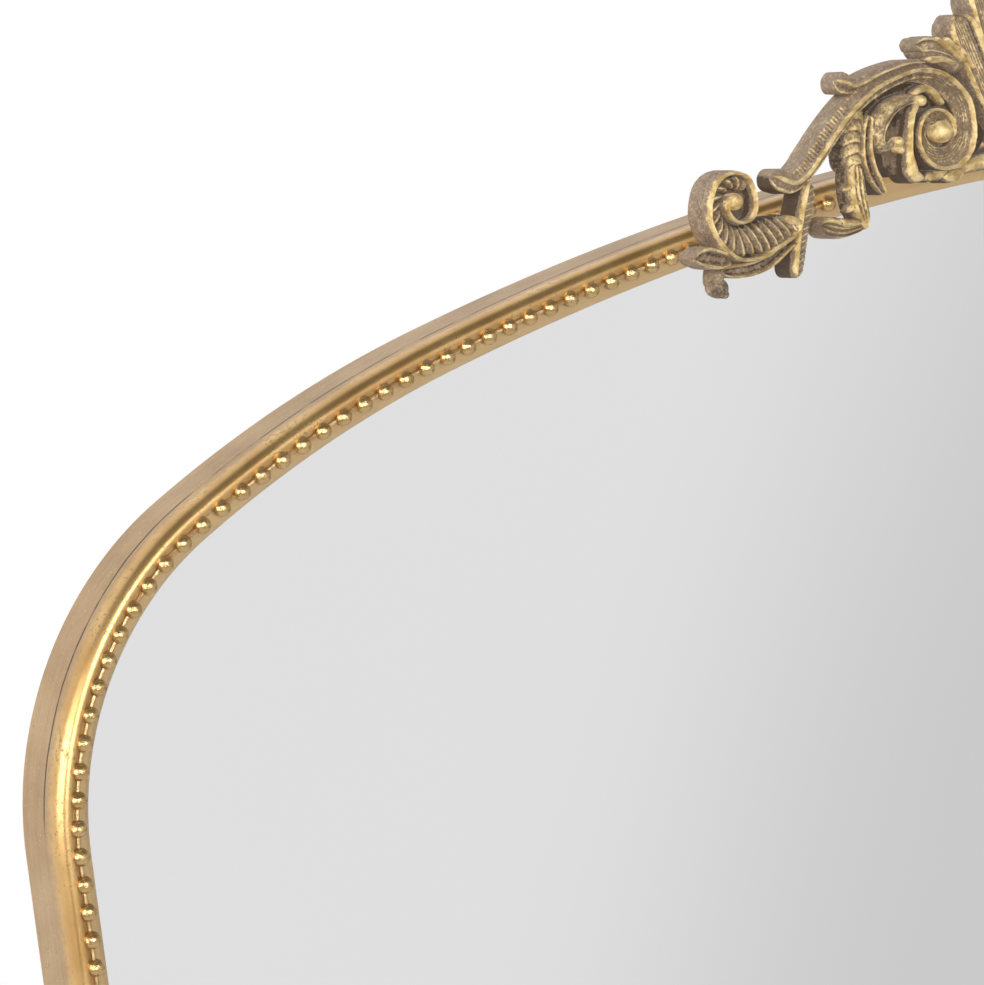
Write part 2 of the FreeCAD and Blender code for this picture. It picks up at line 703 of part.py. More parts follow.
def primitive(kind, name, bindings, rotation=None):
    thing = doc.addObject(kind, name)
    if rotation:
        thing.Placement = FreeCAD.Placement(FreeCAD.Vector(), rotation)
    bind(thing, bindings)
    return thing


def fused(name, shapes):
    joint = doc.addObject("Part::MultiFuse", name)
    joint.Shapes = shapes
    joint.Refine = True
    joint.Label = name
    return joint


def make_strap_blank():
    """Left hanger strap: a plate on the rail's back with its upper end rolled to an eye."""
    plate = primitive("Part::Box", "strap_plate", {
        "Length": "sizes.strap_width",
        "Width": "sizes.strap_sheet",
        "Height": "sizes.strap_length",
        "Placement.Base.x": "-sizes.strap_x - sizes.strap_width / 2",
        "Placement.Base.y": "-sizes.bumper_height",
        "Placement.Base.z": "sizes.eye_z - sizes.strap_length",
    })
    eye_place = {
        "Height": "sizes.strap_width",
        "Placement.Base.x": "-sizes.strap_x - sizes.strap_width / 2",
        "Placement.Base.y": "sizes.eye_y",
        "Placement.Base.z": "sizes.eye_z",
    }
    roll = primitive("Part::Cylinder", "strap_roll", {"Radius": "sizes.eye_radius", **eye_place}, TURN_TO_SIDE)
    eye = primitive("Part::Cylinder", "strap_eye",
                    {"Radius": "sizes.eye_radius - sizes.strap_sheet", **eye_place}, TURN_TO_SIDE)
    return bored(fused("strap_sheet_metal", [plate, roll]), eye, "strap_blank")


def make_strap_screws():
    bearing_y = -size("bumper_height") + size("strap_sheet")
    one = screw("strap", size("strap_screw_length") + size("strap_sheet"))
    turn = FreeCAD.Rotation(FreeCAD.Vector(1, 0, 0), 90)
    z = size("eye_z") - size("strap_screw_drop")
    solids = []
    for side in (-1, 1):
        place = FreeCAD.Vector(side * size("strap_x"), bearing_y, z)
        solids.append(placed(one, FreeCAD.Placement(place, turn)))
    return solids_group("hanger_screws", solids)


def make_ring():
    """Left hanger ring: a D of round wire that hangs from the strap's eye."""
    place = {
        "Placement.Base.y": "sizes.eye_y",
        "Placement.Base.z": "sizes.eye_z",
    }
    pieces = [primitive("Part::Cylinder", "ring_bar", {
        "Radius": "sizes.ring_wire_radius",
        "Height": "2 * sizes.ring_half",
        "Placement.Base.x": "-sizes.strap_x - sizes.ring_half",
        **place,
    }, TURN_TO_SIDE)]
    for name, sign in (("left", -1), ("right", 1)):
        leg_x = f"-sizes.strap_x + {sign} * sizes.ring_half"
        pieces.append(primitive("Part::Sphere", f"ring_{name}_bend", {
            "Radius": "sizes.ring_wire_radius", "Placement.Base.x": leg_x, **place}))
        pieces.append(primitive("Part::Cylinder", f"ring_{name}_leg", {
            "Radius": "sizes.ring_wire_radius",
            "Height": "sizes.ring_leg",
            "Placement.Base.x": leg_x,
            "Placement.Base.y": "sizes.eye_y",
            "Placement.Base.z": "sizes.eye_z - sizes.ring_leg",
        }))
    bow = primitive("Part::Torus", "ring_bow", {
        "Radius1": "sizes.ring_half",
        "Radius2": "sizes.ring_wire_radius",
        "Placement.Base.x": "-sizes.strap_x",
        "Placement.Base.y": "sizes.eye_y",
        "Placement.Base.z": "sizes.eye_z - sizes.ring_leg",
    }, TURN_TO_WALL)
    bow.Angle3 = 180
    return fused("hanger_ring_left", pieces + [bow])


def make_bumpers():
    """Two rubber feet on the bottom rail that keep the frame off the wall."""
    x = size("corner_centre_x") - size("bumper_setback")
    z = size("bottom_z") - size("rail_middle_out")
    one = Part.makeCylinder(size("bumper_radius"), size("bumper_height"))
    solids = [placed(one, FreeCAD.Placement(world(side * x, size("back_depth"), z), TURN_TO_WALL))
              for side in (-1, 1)]
    return solids_group("wall_bumpers", solids)


# Assembly

fill_sheet()

crest_screws = make_crest_screws()
clip_screws = make_clip_screws()
hanger_screws = make_strap_screws()

moulding_top = bored(timber("moulding_top_timber", MOULDING_PROFILE, [add_half_top, add_haunch]),
                     crest_screws, "moulding_top_left")
moulding_side = timber("moulding_left", MOULDING_PROFILE, [add_shoulder, add_side, add_corner])
rail_shoulder = timber("rail_shoulder_left", RAIL_PROFILE, [add_haunch, add_shoulder])
rail_side_timber = timber("rail_side_timber", RAIL_PROFILE, [add_side, add_corner])
rail_side = bored(bored(rail_side_timber, clip_screws, "rail_side_clipped"), hanger_screws, "rail_left")
rail_top_timber = timber("rail_top_timber", RAIL_PROFILE, [add_whole_top])
rail_top = bored(bored(rail_top_timber, clip_screws, "rail_top_clipped"), crest_screws, "rail_top")
strap = bored(make_strap_blank(), hanger_screws, "hanger_strap_left")
ring = make_ring()

sub_parts = [
    moulding_top, mirrored(moulding_top, "moulding_top_right"),
    moulding_side, mirrored(moulding_side, "moulding_right"),
    timber("moulding_bottom", MOULDING_PROFILE, [add_bottom]),
    rail_top,
    rail_shoulder, mirrored(rail_shoulder, "rail_shoulder_right"),
    rail_side, mirrored(rail_side, "rail_right"),
    bored(timber("rail_bottom_timber", RAIL_PROFILE, [add_bottom]), clip_screws, "rail_bottom"),
    *make_pearls(),
    make_pane("mirror_glass", "glass_thickness", None),
    make_pane("backing_board", "board_thickness", "glass_thickness"),
    bored(make_crest(), crest_screws, "crest"),
    crest_screws,
    bored(make_clips(), clip_screws, "retainer_clips"),
    clip_screws,
    strap, mirrored(strap, "hanger_strap_right"),
    ring, mirrored(ring, "hanger_ring_right"),
    hanger_screws,
    make_bumpers(),
]
doc.recompute()

for thing in doc.Objects:
    if "Invalid" in thing.State or "Error" in thing.State:
        raise RuntimeError(f"{thing.Label} failed: {thing.State}")
for part in sub_parts:
    if part.Shape.isNull() or not part.Shape.isValid():
        raise RuntimeError(f"{part.Label} has no valid shape")
os.makedirs("parts", exist_ok=True)
for part in sub_parts:
    part.Shape.exportStep(f"parts/{part.Label}.step")
    print(part.Label, len(part.Shape.Solids), round(part.Shape.Volume))
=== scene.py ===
import math
import random

import bpy
from mathutils import Matrix, Vector, noise


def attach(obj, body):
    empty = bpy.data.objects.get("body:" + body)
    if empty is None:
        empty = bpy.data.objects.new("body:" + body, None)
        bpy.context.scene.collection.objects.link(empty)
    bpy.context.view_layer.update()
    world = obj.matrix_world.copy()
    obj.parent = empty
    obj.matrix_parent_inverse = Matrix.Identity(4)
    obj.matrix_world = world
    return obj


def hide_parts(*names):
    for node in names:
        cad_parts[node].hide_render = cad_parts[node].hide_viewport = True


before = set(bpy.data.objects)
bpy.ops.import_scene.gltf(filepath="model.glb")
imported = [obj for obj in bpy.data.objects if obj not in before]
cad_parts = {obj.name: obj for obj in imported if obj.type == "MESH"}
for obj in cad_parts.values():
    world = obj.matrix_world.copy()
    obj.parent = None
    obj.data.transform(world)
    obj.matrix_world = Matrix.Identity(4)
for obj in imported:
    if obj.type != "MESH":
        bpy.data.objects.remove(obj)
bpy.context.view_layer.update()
scene = bpy.context.scene
scene.view_settings.view_transform = "Standard"

# Sizes of the frame, as in the solids. Depth runs from the pearls' middle plane to the wall, "out" from
# the line of the pearls away from the glass.
MM = 0.001
QUARTER_TURN = math.radians(90)
HALF_TURN = math.radians(180)
HALF_LINE = 449.7 * MM
TOP_ANGLE = math.radians(13.34)
HAUNCH_ANGLE = math.radians(27.4)
HAUNCH_RADIUS = 474 * MM
SHOULDER_RADIUS = 116 * MM
CORNER_RADIUS = 60 * MM
FRAME_HEIGHT = 560 * MM
WALL_OUT = 7.3 * MM
LIP_REACH = 6.9 * MM
LIP_DROP = 5.8 * MM
SEAT_DROP = 1.7 * MM
SEAT_HALF = 3.2 * MM
MOULDING_DEPTH = 10.5 * MM
RAIL_DEPTH = 15.7 * MM
RAIL_INSET = 2.5 * MM
PEARL_RADIUS = 2.85 * MM
PEARL_PITCH = 9.46 * MM
BARE_LENGTH = 100 * MM
BUMPER_HEIGHT = 7 * MM
HOOK_BELOW_SHOULDER = 46 * MM
CREST_BACK = 2.85 * MM

# Sizes that only the dressed frame has: the bead's fuller round, the softened edges, and the bit that the
# rail leaves free so that the flush screw heads show.
BEAD_HALF = 3.6 * MM
BEAD_FRONT = 0.4 * MM
BEAD_FLANK = 4.8 * MM
EDGE_ROUND = 0.35 * MM
LIP_NOSE_SHARE = 0.3
SEAT_SETBACK = 6 * EDGE_ROUND
SEAM_ROUND = 0.06 * MM
HEAD_SHOW = 0.1 * MM

BACK_DEPTH = MOULDING_DEPTH + RAIL_DEPTH
PEARL_PLANE = -BUMPER_HEIGHT - BACK_DEPTH
SHOULDER_X = HALF_LINE - SHOULDER_RADIUS
HAUNCH_X = SHOULDER_X - (HAUNCH_RADIUS - SHOULDER_RADIUS) * math.sin(HAUNCH_ANGLE)
TOP_RADIUS = HAUNCH_RADIUS + HAUNCH_X / math.sin(TOP_ANGLE)
HAUNCH_Z = (TOP_RADIUS - HAUNCH_RADIUS) * math.cos(TOP_ANGLE) - TOP_RADIUS
SHOULDER_Z = HAUNCH_Z + (HAUNCH_RADIUS - SHOULDER_RADIUS) * math.cos(HAUNCH_ANGLE)
BOTTOM_Z = 2 * WALL_OUT - FRAME_HEIGHT
CORNER_X = HALF_LINE - CORNER_RADIUS
CORNER_Z = BOTTOM_Z + CORNER_RADIUS
APEX_Z = HOOK_BELOW_SHOULDER - SHOULDER_Z


# Finishes

class Signal:
    """A shader socket that takes part in Python arithmetic: each operation adds a Math node."""

    def __init__(self, finish, socket):
        self.finish = finish
        self.socket = socket

    def maths(self, operation, first, second):
        return self.finish.node("ShaderNodeMath", {"operation": operation}, {0: first, 1: second})

    def __add__(self, other):
        return self.maths("ADD", self, other)

    __radd__ = __add__

    def __sub__(self, other):
        return self.maths("SUBTRACT", self, other)

    def __rsub__(self, other):
        return self.maths("SUBTRACT", other, self)

    def __mul__(self, other):
        return self.maths("MULTIPLY", self, other)

    __rmul__ = __mul__


class Finish:
    """A node tree with its nodes added and wired one by one."""

    def __init__(self, tree):
        self.tree = tree

    def node(self, kind, settings=None, inputs=None, output=0):
        made = self.tree.nodes.new(kind)
        for name, value in (settings or {}).items():
            setattr(made, name, value)
        for name, value in (inputs or {}).items():
            self.feed(made.inputs[name], value)
        return Signal(self, made.outputs[output])

    def feed(self, socket, value):
        if isinstance(value, Signal):
            self.tree.links.new(value.socket, socket)
        else:
            socket.default_value = value

    def places(self, stretch=(1, 1, 1)):
        """Places on the piece, in metres from the object's origin, stretched as told."""
        here = self.node("ShaderNodeTexCoord", output="Object")
        return self.node("ShaderNodeMapping", inputs={"Vector": here, "Scale": stretch})

    def noise(self, scale, detail=3.0, roughness=0.55, places=None):
        return self.node("ShaderNodeTexNoise", inputs={
            "Vector": places or self.places(), "Scale": scale, "Detail": detail, "Roughness": roughness})

    def rise(self, value, low, high, first=0.0, last=1.0):
        """The value's way from low to high, eased at both ends."""
        return self.node("ShaderNodeMapRange", {"interpolation_type": "SMOOTHSTEP"}, {
            "Value": value, "From Min": low, "From Max": high, "To Min": first, "To Max": last})

    def blend(self, share, first, second):
        """One colour passing into another."""
        return self.node("ShaderNodeMix", {"data_type": "RGBA"}, {0: share, 6: first, 7: second}, 2)

    def attribute(self, name):
        return self.node("ShaderNodeAttribute", {"attribute_name": name}, output="Fac")

    def bump(self, height, distance, strength=1.0):
        return self.node("ShaderNodeBump", inputs={
            "Height": height, "Distance": distance, "Strength": strength})


def colour(red, green, blue):
    return (red, green, blue, 1.0)


def new_finish(name, sockets):
    """A material with a Principled shader; sockets takes the finish and returns the values to set."""
    material = bpy.data.materials.new(name)
    material.use_nodes = True
    finish = Finish(material.node_tree)
    shader = material.node_tree.nodes["Principled BSDF"]
    for socket, value in sockets(finish).items():
        finish.feed(shader.inputs[socket], value)
    return material


def depth_of(finish):
    """How far back a place lies, in metres."""
    return finish.node("ShaderNodeSeparateXYZ", inputs={"Vector": finish.places()}, output="Y")


def height_of(finish):
    """How high a place lies, in metres above the wall hooks."""
    return finish.node("ShaderNodeSeparateXYZ", inputs={"Vector": finish.places()}, output="Z")


# Heights of the fine relief in the finishes.
LEAF_RELIEF = 0.12 * MM
RAIL_RELIEF = 0.1 * MM
PEARL_RELIEF = 0.5 * MM
CAST_RELIEF = 0.7 * MM
BOARD_RELIEF = 0.2 * MM
STEEL_RELIEF = 0.05 * MM
BRASS_RELIEF = 0.04 * MM
RUBBER_RELIEF = 0.1 * MM

WALL_SHEEN = 0.15
WALL_SHEEN_ROUGHNESS = 0.3
# The dark seam of the outer walls: half its width where it is full and where it has faded, how far it
# wanders, and the height at which it closes on the sides.
SEAM_FULL = 0.3 * MM
SEAM_GONE = 0.55 * MM
SEAM_WANDER = 1.6 * MM
SEAM_LOW_END = 52 * MM
SEAM_FADE = 12 * MM


def worn_wall(finish, patches, fine):
    """Dull champagne leaf on the outer walls, with a broken dark seam and streaks along the frame."""
    seam_line = PEARL_PLANE + MOULDING_DEPTH - (patches - 0.5) * SEAM_WANDER
    from_seam = finish.node("ShaderNodeMath", {"operation": "ABSOLUTE"}, {0: depth_of(finish) - seam_line})
    open_seam = finish.rise(finish.noise(6.5, 2), 0.42, 0.52) * finish.rise(finish.noise(60, 2), 0.34, 0.48)
    above_end = finish.rise(height_of(finish), SEAM_LOW_END, SEAM_LOW_END + SEAM_FADE)
    seam = open_seam * above_end * finish.rise(from_seam, SEAM_FULL, SEAM_GONE, 1.0, 0.0)
    streaks = finish.noise(34, 3, 0.6, finish.places((1, 30, 1)))
    scratches = finish.rise(streaks, 0.65, 0.70) * finish.rise(fine, 0.42, 0.58)
    flecks = finish.rise(fine + patches * 0.35, 0.84, 0.92)
    tone = finish.rise(patches * 0.7 + streaks * 0.4, 0.35, 0.75)
    wall = finish.blend(tone, colour(0.385, 0.243, 0.123), colour(0.52, 0.352, 0.193))
    glints = finish.rise(finish.noise(1100, 2), 0.64, 0.74)
    dusted = finish.blend(glints * 0.6, wall, colour(0.80, 0.60, 0.30))
    worn = finish.blend(flecks * 0.6 + scratches * 0.6, dusted, colour(0.12, 0.07, 0.035))
    return finish.blend(seam * 0.95, worn, colour(0.045, 0.027, 0.014))


def gilt_timber(finish):
    """Gold leaf on wood: bright on the bead, pale on the lip, dull on the outer wall, with dark flecks."""
    leaf = finish.attribute("leaf")
    patches = finish.noise(38, 4)
    fine = finish.noise(420, 5, 0.65)
    grit = finish.noise(1500, 3, 0.6)
    dull = finish.rise(leaf + fine * 0.6, 0.82, 1.25)
    lip = finish.rise(leaf, 0.1, 0.4, 1.0, 0.0)
    bead = 1 - dull - lip
    flecks = finish.rise(fine * 0.5 + grit * 0.5 + patches * 0.35, 0.73, 0.81)
    gold = finish.blend(finish.rise(patches, 0.3, 0.7), colour(0.58, 0.345, 0.13), colour(0.76, 0.50, 0.215))
    pale = finish.blend(patches, colour(0.68, 0.46, 0.22), colour(0.80, 0.57, 0.29))
    faces = finish.blend(dull, finish.blend(lip, gold, pale), worn_wall(finish, patches, fine))
    return {
        "Base Color": finish.blend(flecks * bead * 0.55, faces, colour(0.15, 0.08, 0.03)),
        "Metallic": 0.35 + lip * 0.35 + bead * 0.55 - flecks * 0.25,
        "Roughness": 0.48 - lip * 0.12 - bead * 0.2 + fine * 0.1 + flecks * 0.1,
        "Coat Weight": dull * WALL_SHEEN,
        "Coat Roughness": WALL_SHEEN_ROUGHNESS,
        "Normal": finish.bump(grit * 0.4 + fine, LEAF_RELIEF, 0.5),
    }


def gilt_rail(finish):
    """The same dull leaf on the rail behind the moulding."""
    patches = finish.noise(38, 4)
    fine = finish.noise(420, 5, 0.65)
    return {
        "Base Color": worn_wall(finish, patches, fine),
        "Metallic": 0.35,
        "Roughness": 0.48 + fine * 0.1,
        "Coat Weight": WALL_SHEEN,
        "Coat Roughness": WALL_SHEEN_ROUGHNESS,
        "Normal": finish.bump(fine, RAIL_RELIEF, 0.5),
    }


# The depth over which the pearls darken with painted shade, before and behind their middle plane, and its
# unevenness.
SHADE_BEFORE = 0.8 * MM
SHADE_BEHIND = 1.8 * MM
SHADE_UNEVEN = 1.2 * MM


def gilt_pearl(finish):
    """Gold leaf on the pearls, darkened with painted shade down where they meet the moulding, and paler on
    the links.
    """
    patches = finish.noise(160, 3)
    fine = finish.noise(700, 4)
    # Painted shade: the pearls go brown and dull towards the back, where they meet the moulding.
    depth = depth_of(finish) + fine * SHADE_UNEVEN
    hollow_shade = finish.rise(depth, PEARL_PLANE - SHADE_BEFORE, PEARL_PLANE + SHADE_BEHIND)
    pale = finish.attribute("pale")
    flecks = finish.rise(fine + patches * 0.3, 0.76, 0.9)
    leaf = finish.blend(patches, colour(0.50, 0.315, 0.125), colour(0.79, 0.555, 0.27))
    leaf_in_shade = finish.blend(hollow_shade * 0.75, leaf, colour(0.20, 0.115, 0.045))
    worn = finish.blend(flecks * 0.6, leaf_in_shade, colour(0.13, 0.07, 0.03))
    return {
        "Base Color": finish.blend(pale * 0.7, worn, colour(0.74, 0.54, 0.28)),
        "Metallic": 0.9 - flecks * 0.3 - hollow_shade * 0.3,
        "Roughness": 0.18 + fine * 0.1 + flecks * 0.2 + hollow_shade * 0.2,
        "Normal": finish.bump(fine + patches, PEARL_RELIEF, 0.6),
    }


# The last stretch before the crest's flat back, where the wash, the gold and the painted shade fade to the
# plain taupe of the back.
WASH_FULL = 0.5 * MM
WASH_FADED = 0.1 * MM
BACK_WASH_SHARE = 0.2


def antique_casting(finish):
    """Cast resin washed taupe, brown and darkened with painted shade in the hollows, on walls in shade and on
    the floors, gold rubbed unevenly on the ridges, finely stippled.
    """
    back = PEARL_PLANE - CREST_BACK
    fade = finish.rise(depth_of(finish), back - WASH_FULL, back - WASH_FADED, 1.0, BACK_WASH_SHARE)
    wash_and_shade = finish.attribute("gilding_and_shade") * fade
    patches = finish.noise(90, 4)
    clouds = finish.noise(260, 4, 0.6)
    stipple = finish.noise(900, 5, 0.7)
    grain = stipple * 1.2 + clouds * 0.6 + patches * 0.3
    rubbed = finish.rise(wash_and_shade * 0.9 + grain, 1.34, 1.7)
    # Painted shade: where the attribute is below zero, the hollows, the walls in shade and the floors go dark
    # brown.
    hollow_shade = finish.rise(wash_and_shade + grain - 1.05, -0.1, -0.55)
    taupe = finish.blend(patches, colour(0.24, 0.165, 0.109), colour(0.355, 0.257, 0.174))
    dusty = finish.blend(finish.rise(stipple + clouds * 0.5, 0.68, 0.95), taupe, colour(0.52, 0.40, 0.27))
    shaded = finish.blend(hollow_shade * 0.9, dusty, colour(0.06, 0.034, 0.018))
    gold = finish.blend(finish.rise(clouds, 0.35, 0.65), colour(0.60, 0.40, 0.14), colour(1.0, 0.78, 0.40))
    return {
        "Base Color": finish.blend(rubbed, shaded, gold),
        "Metallic": 0.05 + rubbed * 0.5,
        "Roughness": 0.6 - rubbed * 0.28 + stipple * 0.12,
        "Normal": finish.bump(stipple + clouds * 0.8, CAST_RELIEF, 0.8),
    }


def silvered_glass(finish):
    """Mirror silver behind clear glass, a little hazy."""
    haze = finish.noise(6, 2)
    return {
        "Base Color": finish.blend(haze, colour(0.90, 0.90, 0.90), colour(0.92, 0.92, 0.92)),
        "Metallic": 1.0,
        "Roughness": 0.015 + haze * 0.02,
        "Coat Weight": 0.3,
    }


def hardboard(finish):
    """Brown pressed board with a pale fibre fleck and a faint screen pattern."""
    fibres = finish.noise(300, 4, 0.6, finish.places((1, 1, 0.25)))
    cloudy = finish.noise(9, 3)
    weave = finish.node("ShaderNodeTexVoronoi", inputs={"Vector": finish.places(), "Scale": 520.0})
    base = finish.blend(cloudy, colour(0.16, 0.088, 0.045), colour(0.22, 0.13, 0.07))
    return {
        "Base Color": finish.blend(finish.rise(fibres, 0.55, 0.8), base, colour(0.33, 0.21, 0.12)),
        "Roughness": 0.72 + fibres * 0.15,
        "Normal": finish.bump(weave + fibres, BOARD_RELIEF, 0.6),
    }


def zinc_steel(finish):
    """Zinc plated steel with cloudy spangle and fine scratches."""
    spangle = finish.noise(240, 3)
    scratches = finish.noise(900, 2, 0.5, finish.places((1, 1, 0.1)))
    return {
        "Base Color": finish.blend(spangle, colour(0.48, 0.49, 0.50), colour(0.68, 0.68, 0.67)),
        "Metallic": 1.0,
        "Roughness": 0.28 + spangle * 0.15 + scratches * 0.1,
        "Normal": finish.bump(scratches, STEEL_RELIEF, 0.5),
    }


def brass_plate(finish):
    """Brass plating, slightly tarnished."""
    tarnish = finish.noise(150, 4)
    scratches = finish.noise(900, 2, 0.5, finish.places((0.1, 1, 1)))
    return {
        "Base Color": finish.blend(tarnish, colour(0.52, 0.36, 0.14), colour(0.78, 0.58, 0.27)),
        "Metallic": 1.0,
        "Roughness": 0.24 + tarnish * 0.16 + scratches * 0.08,
        "Normal": finish.bump(scratches, BRASS_RELIEF, 0.5),
    }


def matt_rubber(finish):
    """Black rubber with a dusty bloom."""
    bloom = finish.noise(260, 4)
    return {
        "Base Color": finish.blend(bloom, colour(0.018, 0.018, 0.018), colour(0.06, 0.058, 0.055)),
        "Roughness": 0.62 + bloom * 0.25,
        "Normal": finish.bump(bloom, RUBBER_RELIEF, 0.5),
    }


FINISHES = {
    "gilt_wood": new_finish("gilt_timber", gilt_timber),
    "gilt_rail": new_finish("gilt_rail", gilt_rail),
    "gilt_resin": new_finish("gilt_pearl", gilt_pearl),
    "antique_resin": new_finish("antique_casting", antique_casting),
    "silvered_glass": new_finish("silvered_glass", silvered_glass),
    "hardboard": new_finish("hardboard", hardboard),
    "steel": new_finish("zinc_steel", zinc_steel),
    "brass": new_finish("brass_plate", brass_plate),
    "rubber": new_finish("matt_rubber", matt_rubber),
}


# Modelling helpers

def deselect():
    if bpy.context.mode != "OBJECT":
        bpy.ops.object.mode_set(mode="OBJECT")
    bpy.ops.object.select_all(action="DESELECT")


def take(piece):
    """Makes one piece the only selected one."""
    deselect()
    piece.select_set(True)
    bpy.context.view_layer.objects.active = piece


def edit(piece):
    take(piece)
    bpy.ops.object.mode_set(mode="EDIT")
    bpy.ops.mesh.select_all(action="SELECT")


def leave():
    bpy.ops.object.mode_set(mode="OBJECT")


def settle(piece):
    """Puts the piece's place into its mesh."""
    take(piece)
    bpy.ops.object.transform_apply(location=True, rotation=True, scale=True)


def joined(pieces, name):
    deselect()
    for piece in pieces:
        piece.select_set(True)
    bpy.context.view_layer.objects.active = pieces[0]
    if len(pieces) > 1:
        bpy.ops.object.join()
    pieces[0].name = name
    return pieces[0]


def copy_of(piece):
    twin = piece.copy()
    twin.data = piece.data.copy()
    scene.collection.objects.link(twin)
    return twin


def mirror_of(piece, name):
    """The piece's mirror image on the other side of the middle."""
    twin = copy_of(piece)
    twin.data.transform(Matrix.Scale(-1, 4, Vector((1, 0, 0))))
    edit(twin)
    bpy.ops.mesh.normals_make_consistent(inside=False)
    leave()
    twin.name = name
    return twin


def dress(piece, slot, body, *nodes):
    """Gives a piece its finish, the body it rides on and the nodes that it stands for."""
    piece.data.materials.clear()
    piece.data.materials.append(FINISHES[slot])
    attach(piece, body)
    if nodes:
        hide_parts(*nodes)


def smooth_by_angle(piece, degrees):
    take(piece)
    bpy.ops.object.shade_smooth_by_angle(angle=math.radians(degrees))


# Frame timber

def on_frame(x, depth, z):
    """A place given from the top of the pearls' line, in the object's own axes."""
    return Vector((x, PEARL_PLANE + depth, APEX_Z + z))


BEAD_STEPS = 9
BEAD_START = math.radians(42)
PALE_END = math.radians(52)
GOLD_END = 7.5 * MM
TOP_STEPS = 26
HAUNCH_STEPS = 16
SHOULDER_STEPS = 36
CORNER_STEPS = 36
TIMBER_SMOOTH_DEGREES = 32
# Kinds of leaf across the frame: pale on the lip, bright on the bead, duller on the moulding's wall, dull
# behind.
LIP_LEAF, BEAD_LEAF, FLANK_LEAF, WALL_LEAF = 0, 0.5, 0.78, 1


def moulding_profile():
    """Corners of the cross section: depth, out, and the kind of leaf there."""
    corners = [
        (MOULDING_DEPTH, -LIP_REACH, LIP_LEAF),
        (LIP_DROP + EDGE_ROUND, -LIP_REACH, LIP_LEAF),
        (LIP_DROP, -LIP_REACH + EDGE_ROUND * LIP_NOSE_SHARE, LIP_LEAF),
        (LIP_DROP - EDGE_ROUND, -LIP_REACH + EDGE_ROUND, LIP_LEAF),
        (SEAT_DROP + EDGE_ROUND, -SEAT_HALF - EDGE_ROUND, LIP_LEAF),
        (SEAT_DROP, -SEAT_HALF + EDGE_ROUND, LIP_LEAF),
        (SEAT_DROP - EDGE_ROUND, SEAT_HALF - SEAT_SETBACK, LIP_LEAF),
    ]
    middle = WALL_OUT - BEAD_HALF
    inner_half = QUARTER_TURN - BEAD_START
    for step in range(BEAD_STEPS):
        angle = BEAD_START + inner_half * step / BEAD_STEPS
        leaf = BEAD_LEAF if angle > PALE_END else LIP_LEAF
        depth = BEAD_HALF * (1 - math.sin(angle)) - BEAD_FRONT
        corners.append((depth, middle - BEAD_HALF * math.cos(angle), leaf))
    for step in range(BEAD_STEPS + 1):
        angle = QUARTER_TURN * step / BEAD_STEPS
        depth = BEAD_FLANK * (1 - math.cos(angle)) - BEAD_FRONT
        corners.append((depth, middle + BEAD_HALF * math.sin(angle), BEAD_LEAF))
    corners += [
        (GOLD_END, WALL_OUT, FLANK_LEAF),
        (MOULDING_DEPTH - SEAM_ROUND, WALL_OUT, WALL_LEAF),
        (MOULDING_DEPTH, WALL_OUT - SEAM_ROUND, WALL_LEAF),
    ]
    return corners


def rail_profile():
    return [
        (MOULDING_DEPTH, WALL_OUT - SEAM_ROUND, WALL_LEAF),
        (MOULDING_DEPTH + SEAM_ROUND, WALL_OUT, WALL_LEAF),
        (BACK_DEPTH - EDGE_ROUND, WALL_OUT, WALL_LEAF),
        (BACK_DEPTH - HEAD_SHOW, WALL_OUT - EDGE_ROUND, WALL_LEAF),
        (BACK_DEPTH - HEAD_SHOW, -RAIL_INSET + EDGE_ROUND, WALL_LEAF),
        (BACK_DEPTH - EDGE_ROUND, -RAIL_INSET, WALL_LEAF),
        (MOULDING_DEPTH, -RAIL_INSET, WALL_LEAF),
    ]


def turn(centre_x, centre_z, angle, steps):
    """Carries the selected cross section round an arc, to the left and down."""
    bpy.ops.mesh.spin(steps=steps, angle=angle, center=on_frame(centre_x, 0, centre_z), axis=(0, 1, 0))


def run(x, z):
    """Carries the selected cross section straight on."""
    bpy.ops.mesh.extrude_region_move(TRANSFORM_OT_translate={"value": (x, 0, z)})


def sweep_top():
    turn(0, -TOP_RADIUS, TOP_ANGLE, TOP_STEPS)


def sweep_haunch():
    turn(-HAUNCH_X, HAUNCH_Z, HAUNCH_ANGLE - TOP_ANGLE, HAUNCH_STEPS)


def sweep_shoulder():
    turn(-SHOULDER_X, SHOULDER_Z, QUARTER_TURN - HAUNCH_ANGLE, SHOULDER_STEPS)


def sweep_side():
    run(0, CORNER_Z - SHOULDER_Z)


def sweep_corner():
    turn(-CORNER_X, CORNER_Z, QUARTER_TURN, CORNER_STEPS)


def sweep_bottom():
    run(2 * CORNER_X, 0)


def sweep_whole_top():
    turn(0, -TOP_RADIUS, 2 * TOP_ANGLE, 2 * TOP_STEPS)


def timber(name, corners, start_x, start_z, angle, sweeps):
    """One length of the frame: its cross section, set across the frame at its start, carried along."""
    deselect()
    bpy.ops.mesh.primitive_circle_add(vertices=len(corners), radius=WALL_OUT)
    piece = bpy.context.object
    piece.name = name
    leaf = piece.data.attributes.new("leaf", "FLOAT", "POINT")
    for vertex, (depth, out, kind) in zip(piece.data.vertices, corners):
        vertex.co = on_frame(start_x - out * math.sin(angle), depth, start_z + out * math.cos(angle))
        leaf.data[vertex.index].value = kind
    piece.matrix_world = Matrix.Identity(4)
    edit(piece)
    for sweep in sweeps:
        sweep()
    bpy.ops.mesh.edge_face_add()
    bpy.ops.mesh.select_all(action="DESELECT")
    leave()
    for vertex in piece.data.vertices[:len(corners)]:
        vertex.select = True
    bpy.ops.object.mode_set(mode="EDIT")
    bpy.ops.mesh.edge_face_add()
    bpy.ops.mesh.select_all(action="SELECT")
    bpy.ops.mesh.normals_make_consistent(inside=False)
    leave()
    smooth_by_angle(piece, TIMBER_SMOOTH_DEGREES)
    return piece


def start_of(radius, centre_x, centre_z, angle):
    return centre_x - radius * math.sin(angle), centre_z + radius * math.cos(angle), angle


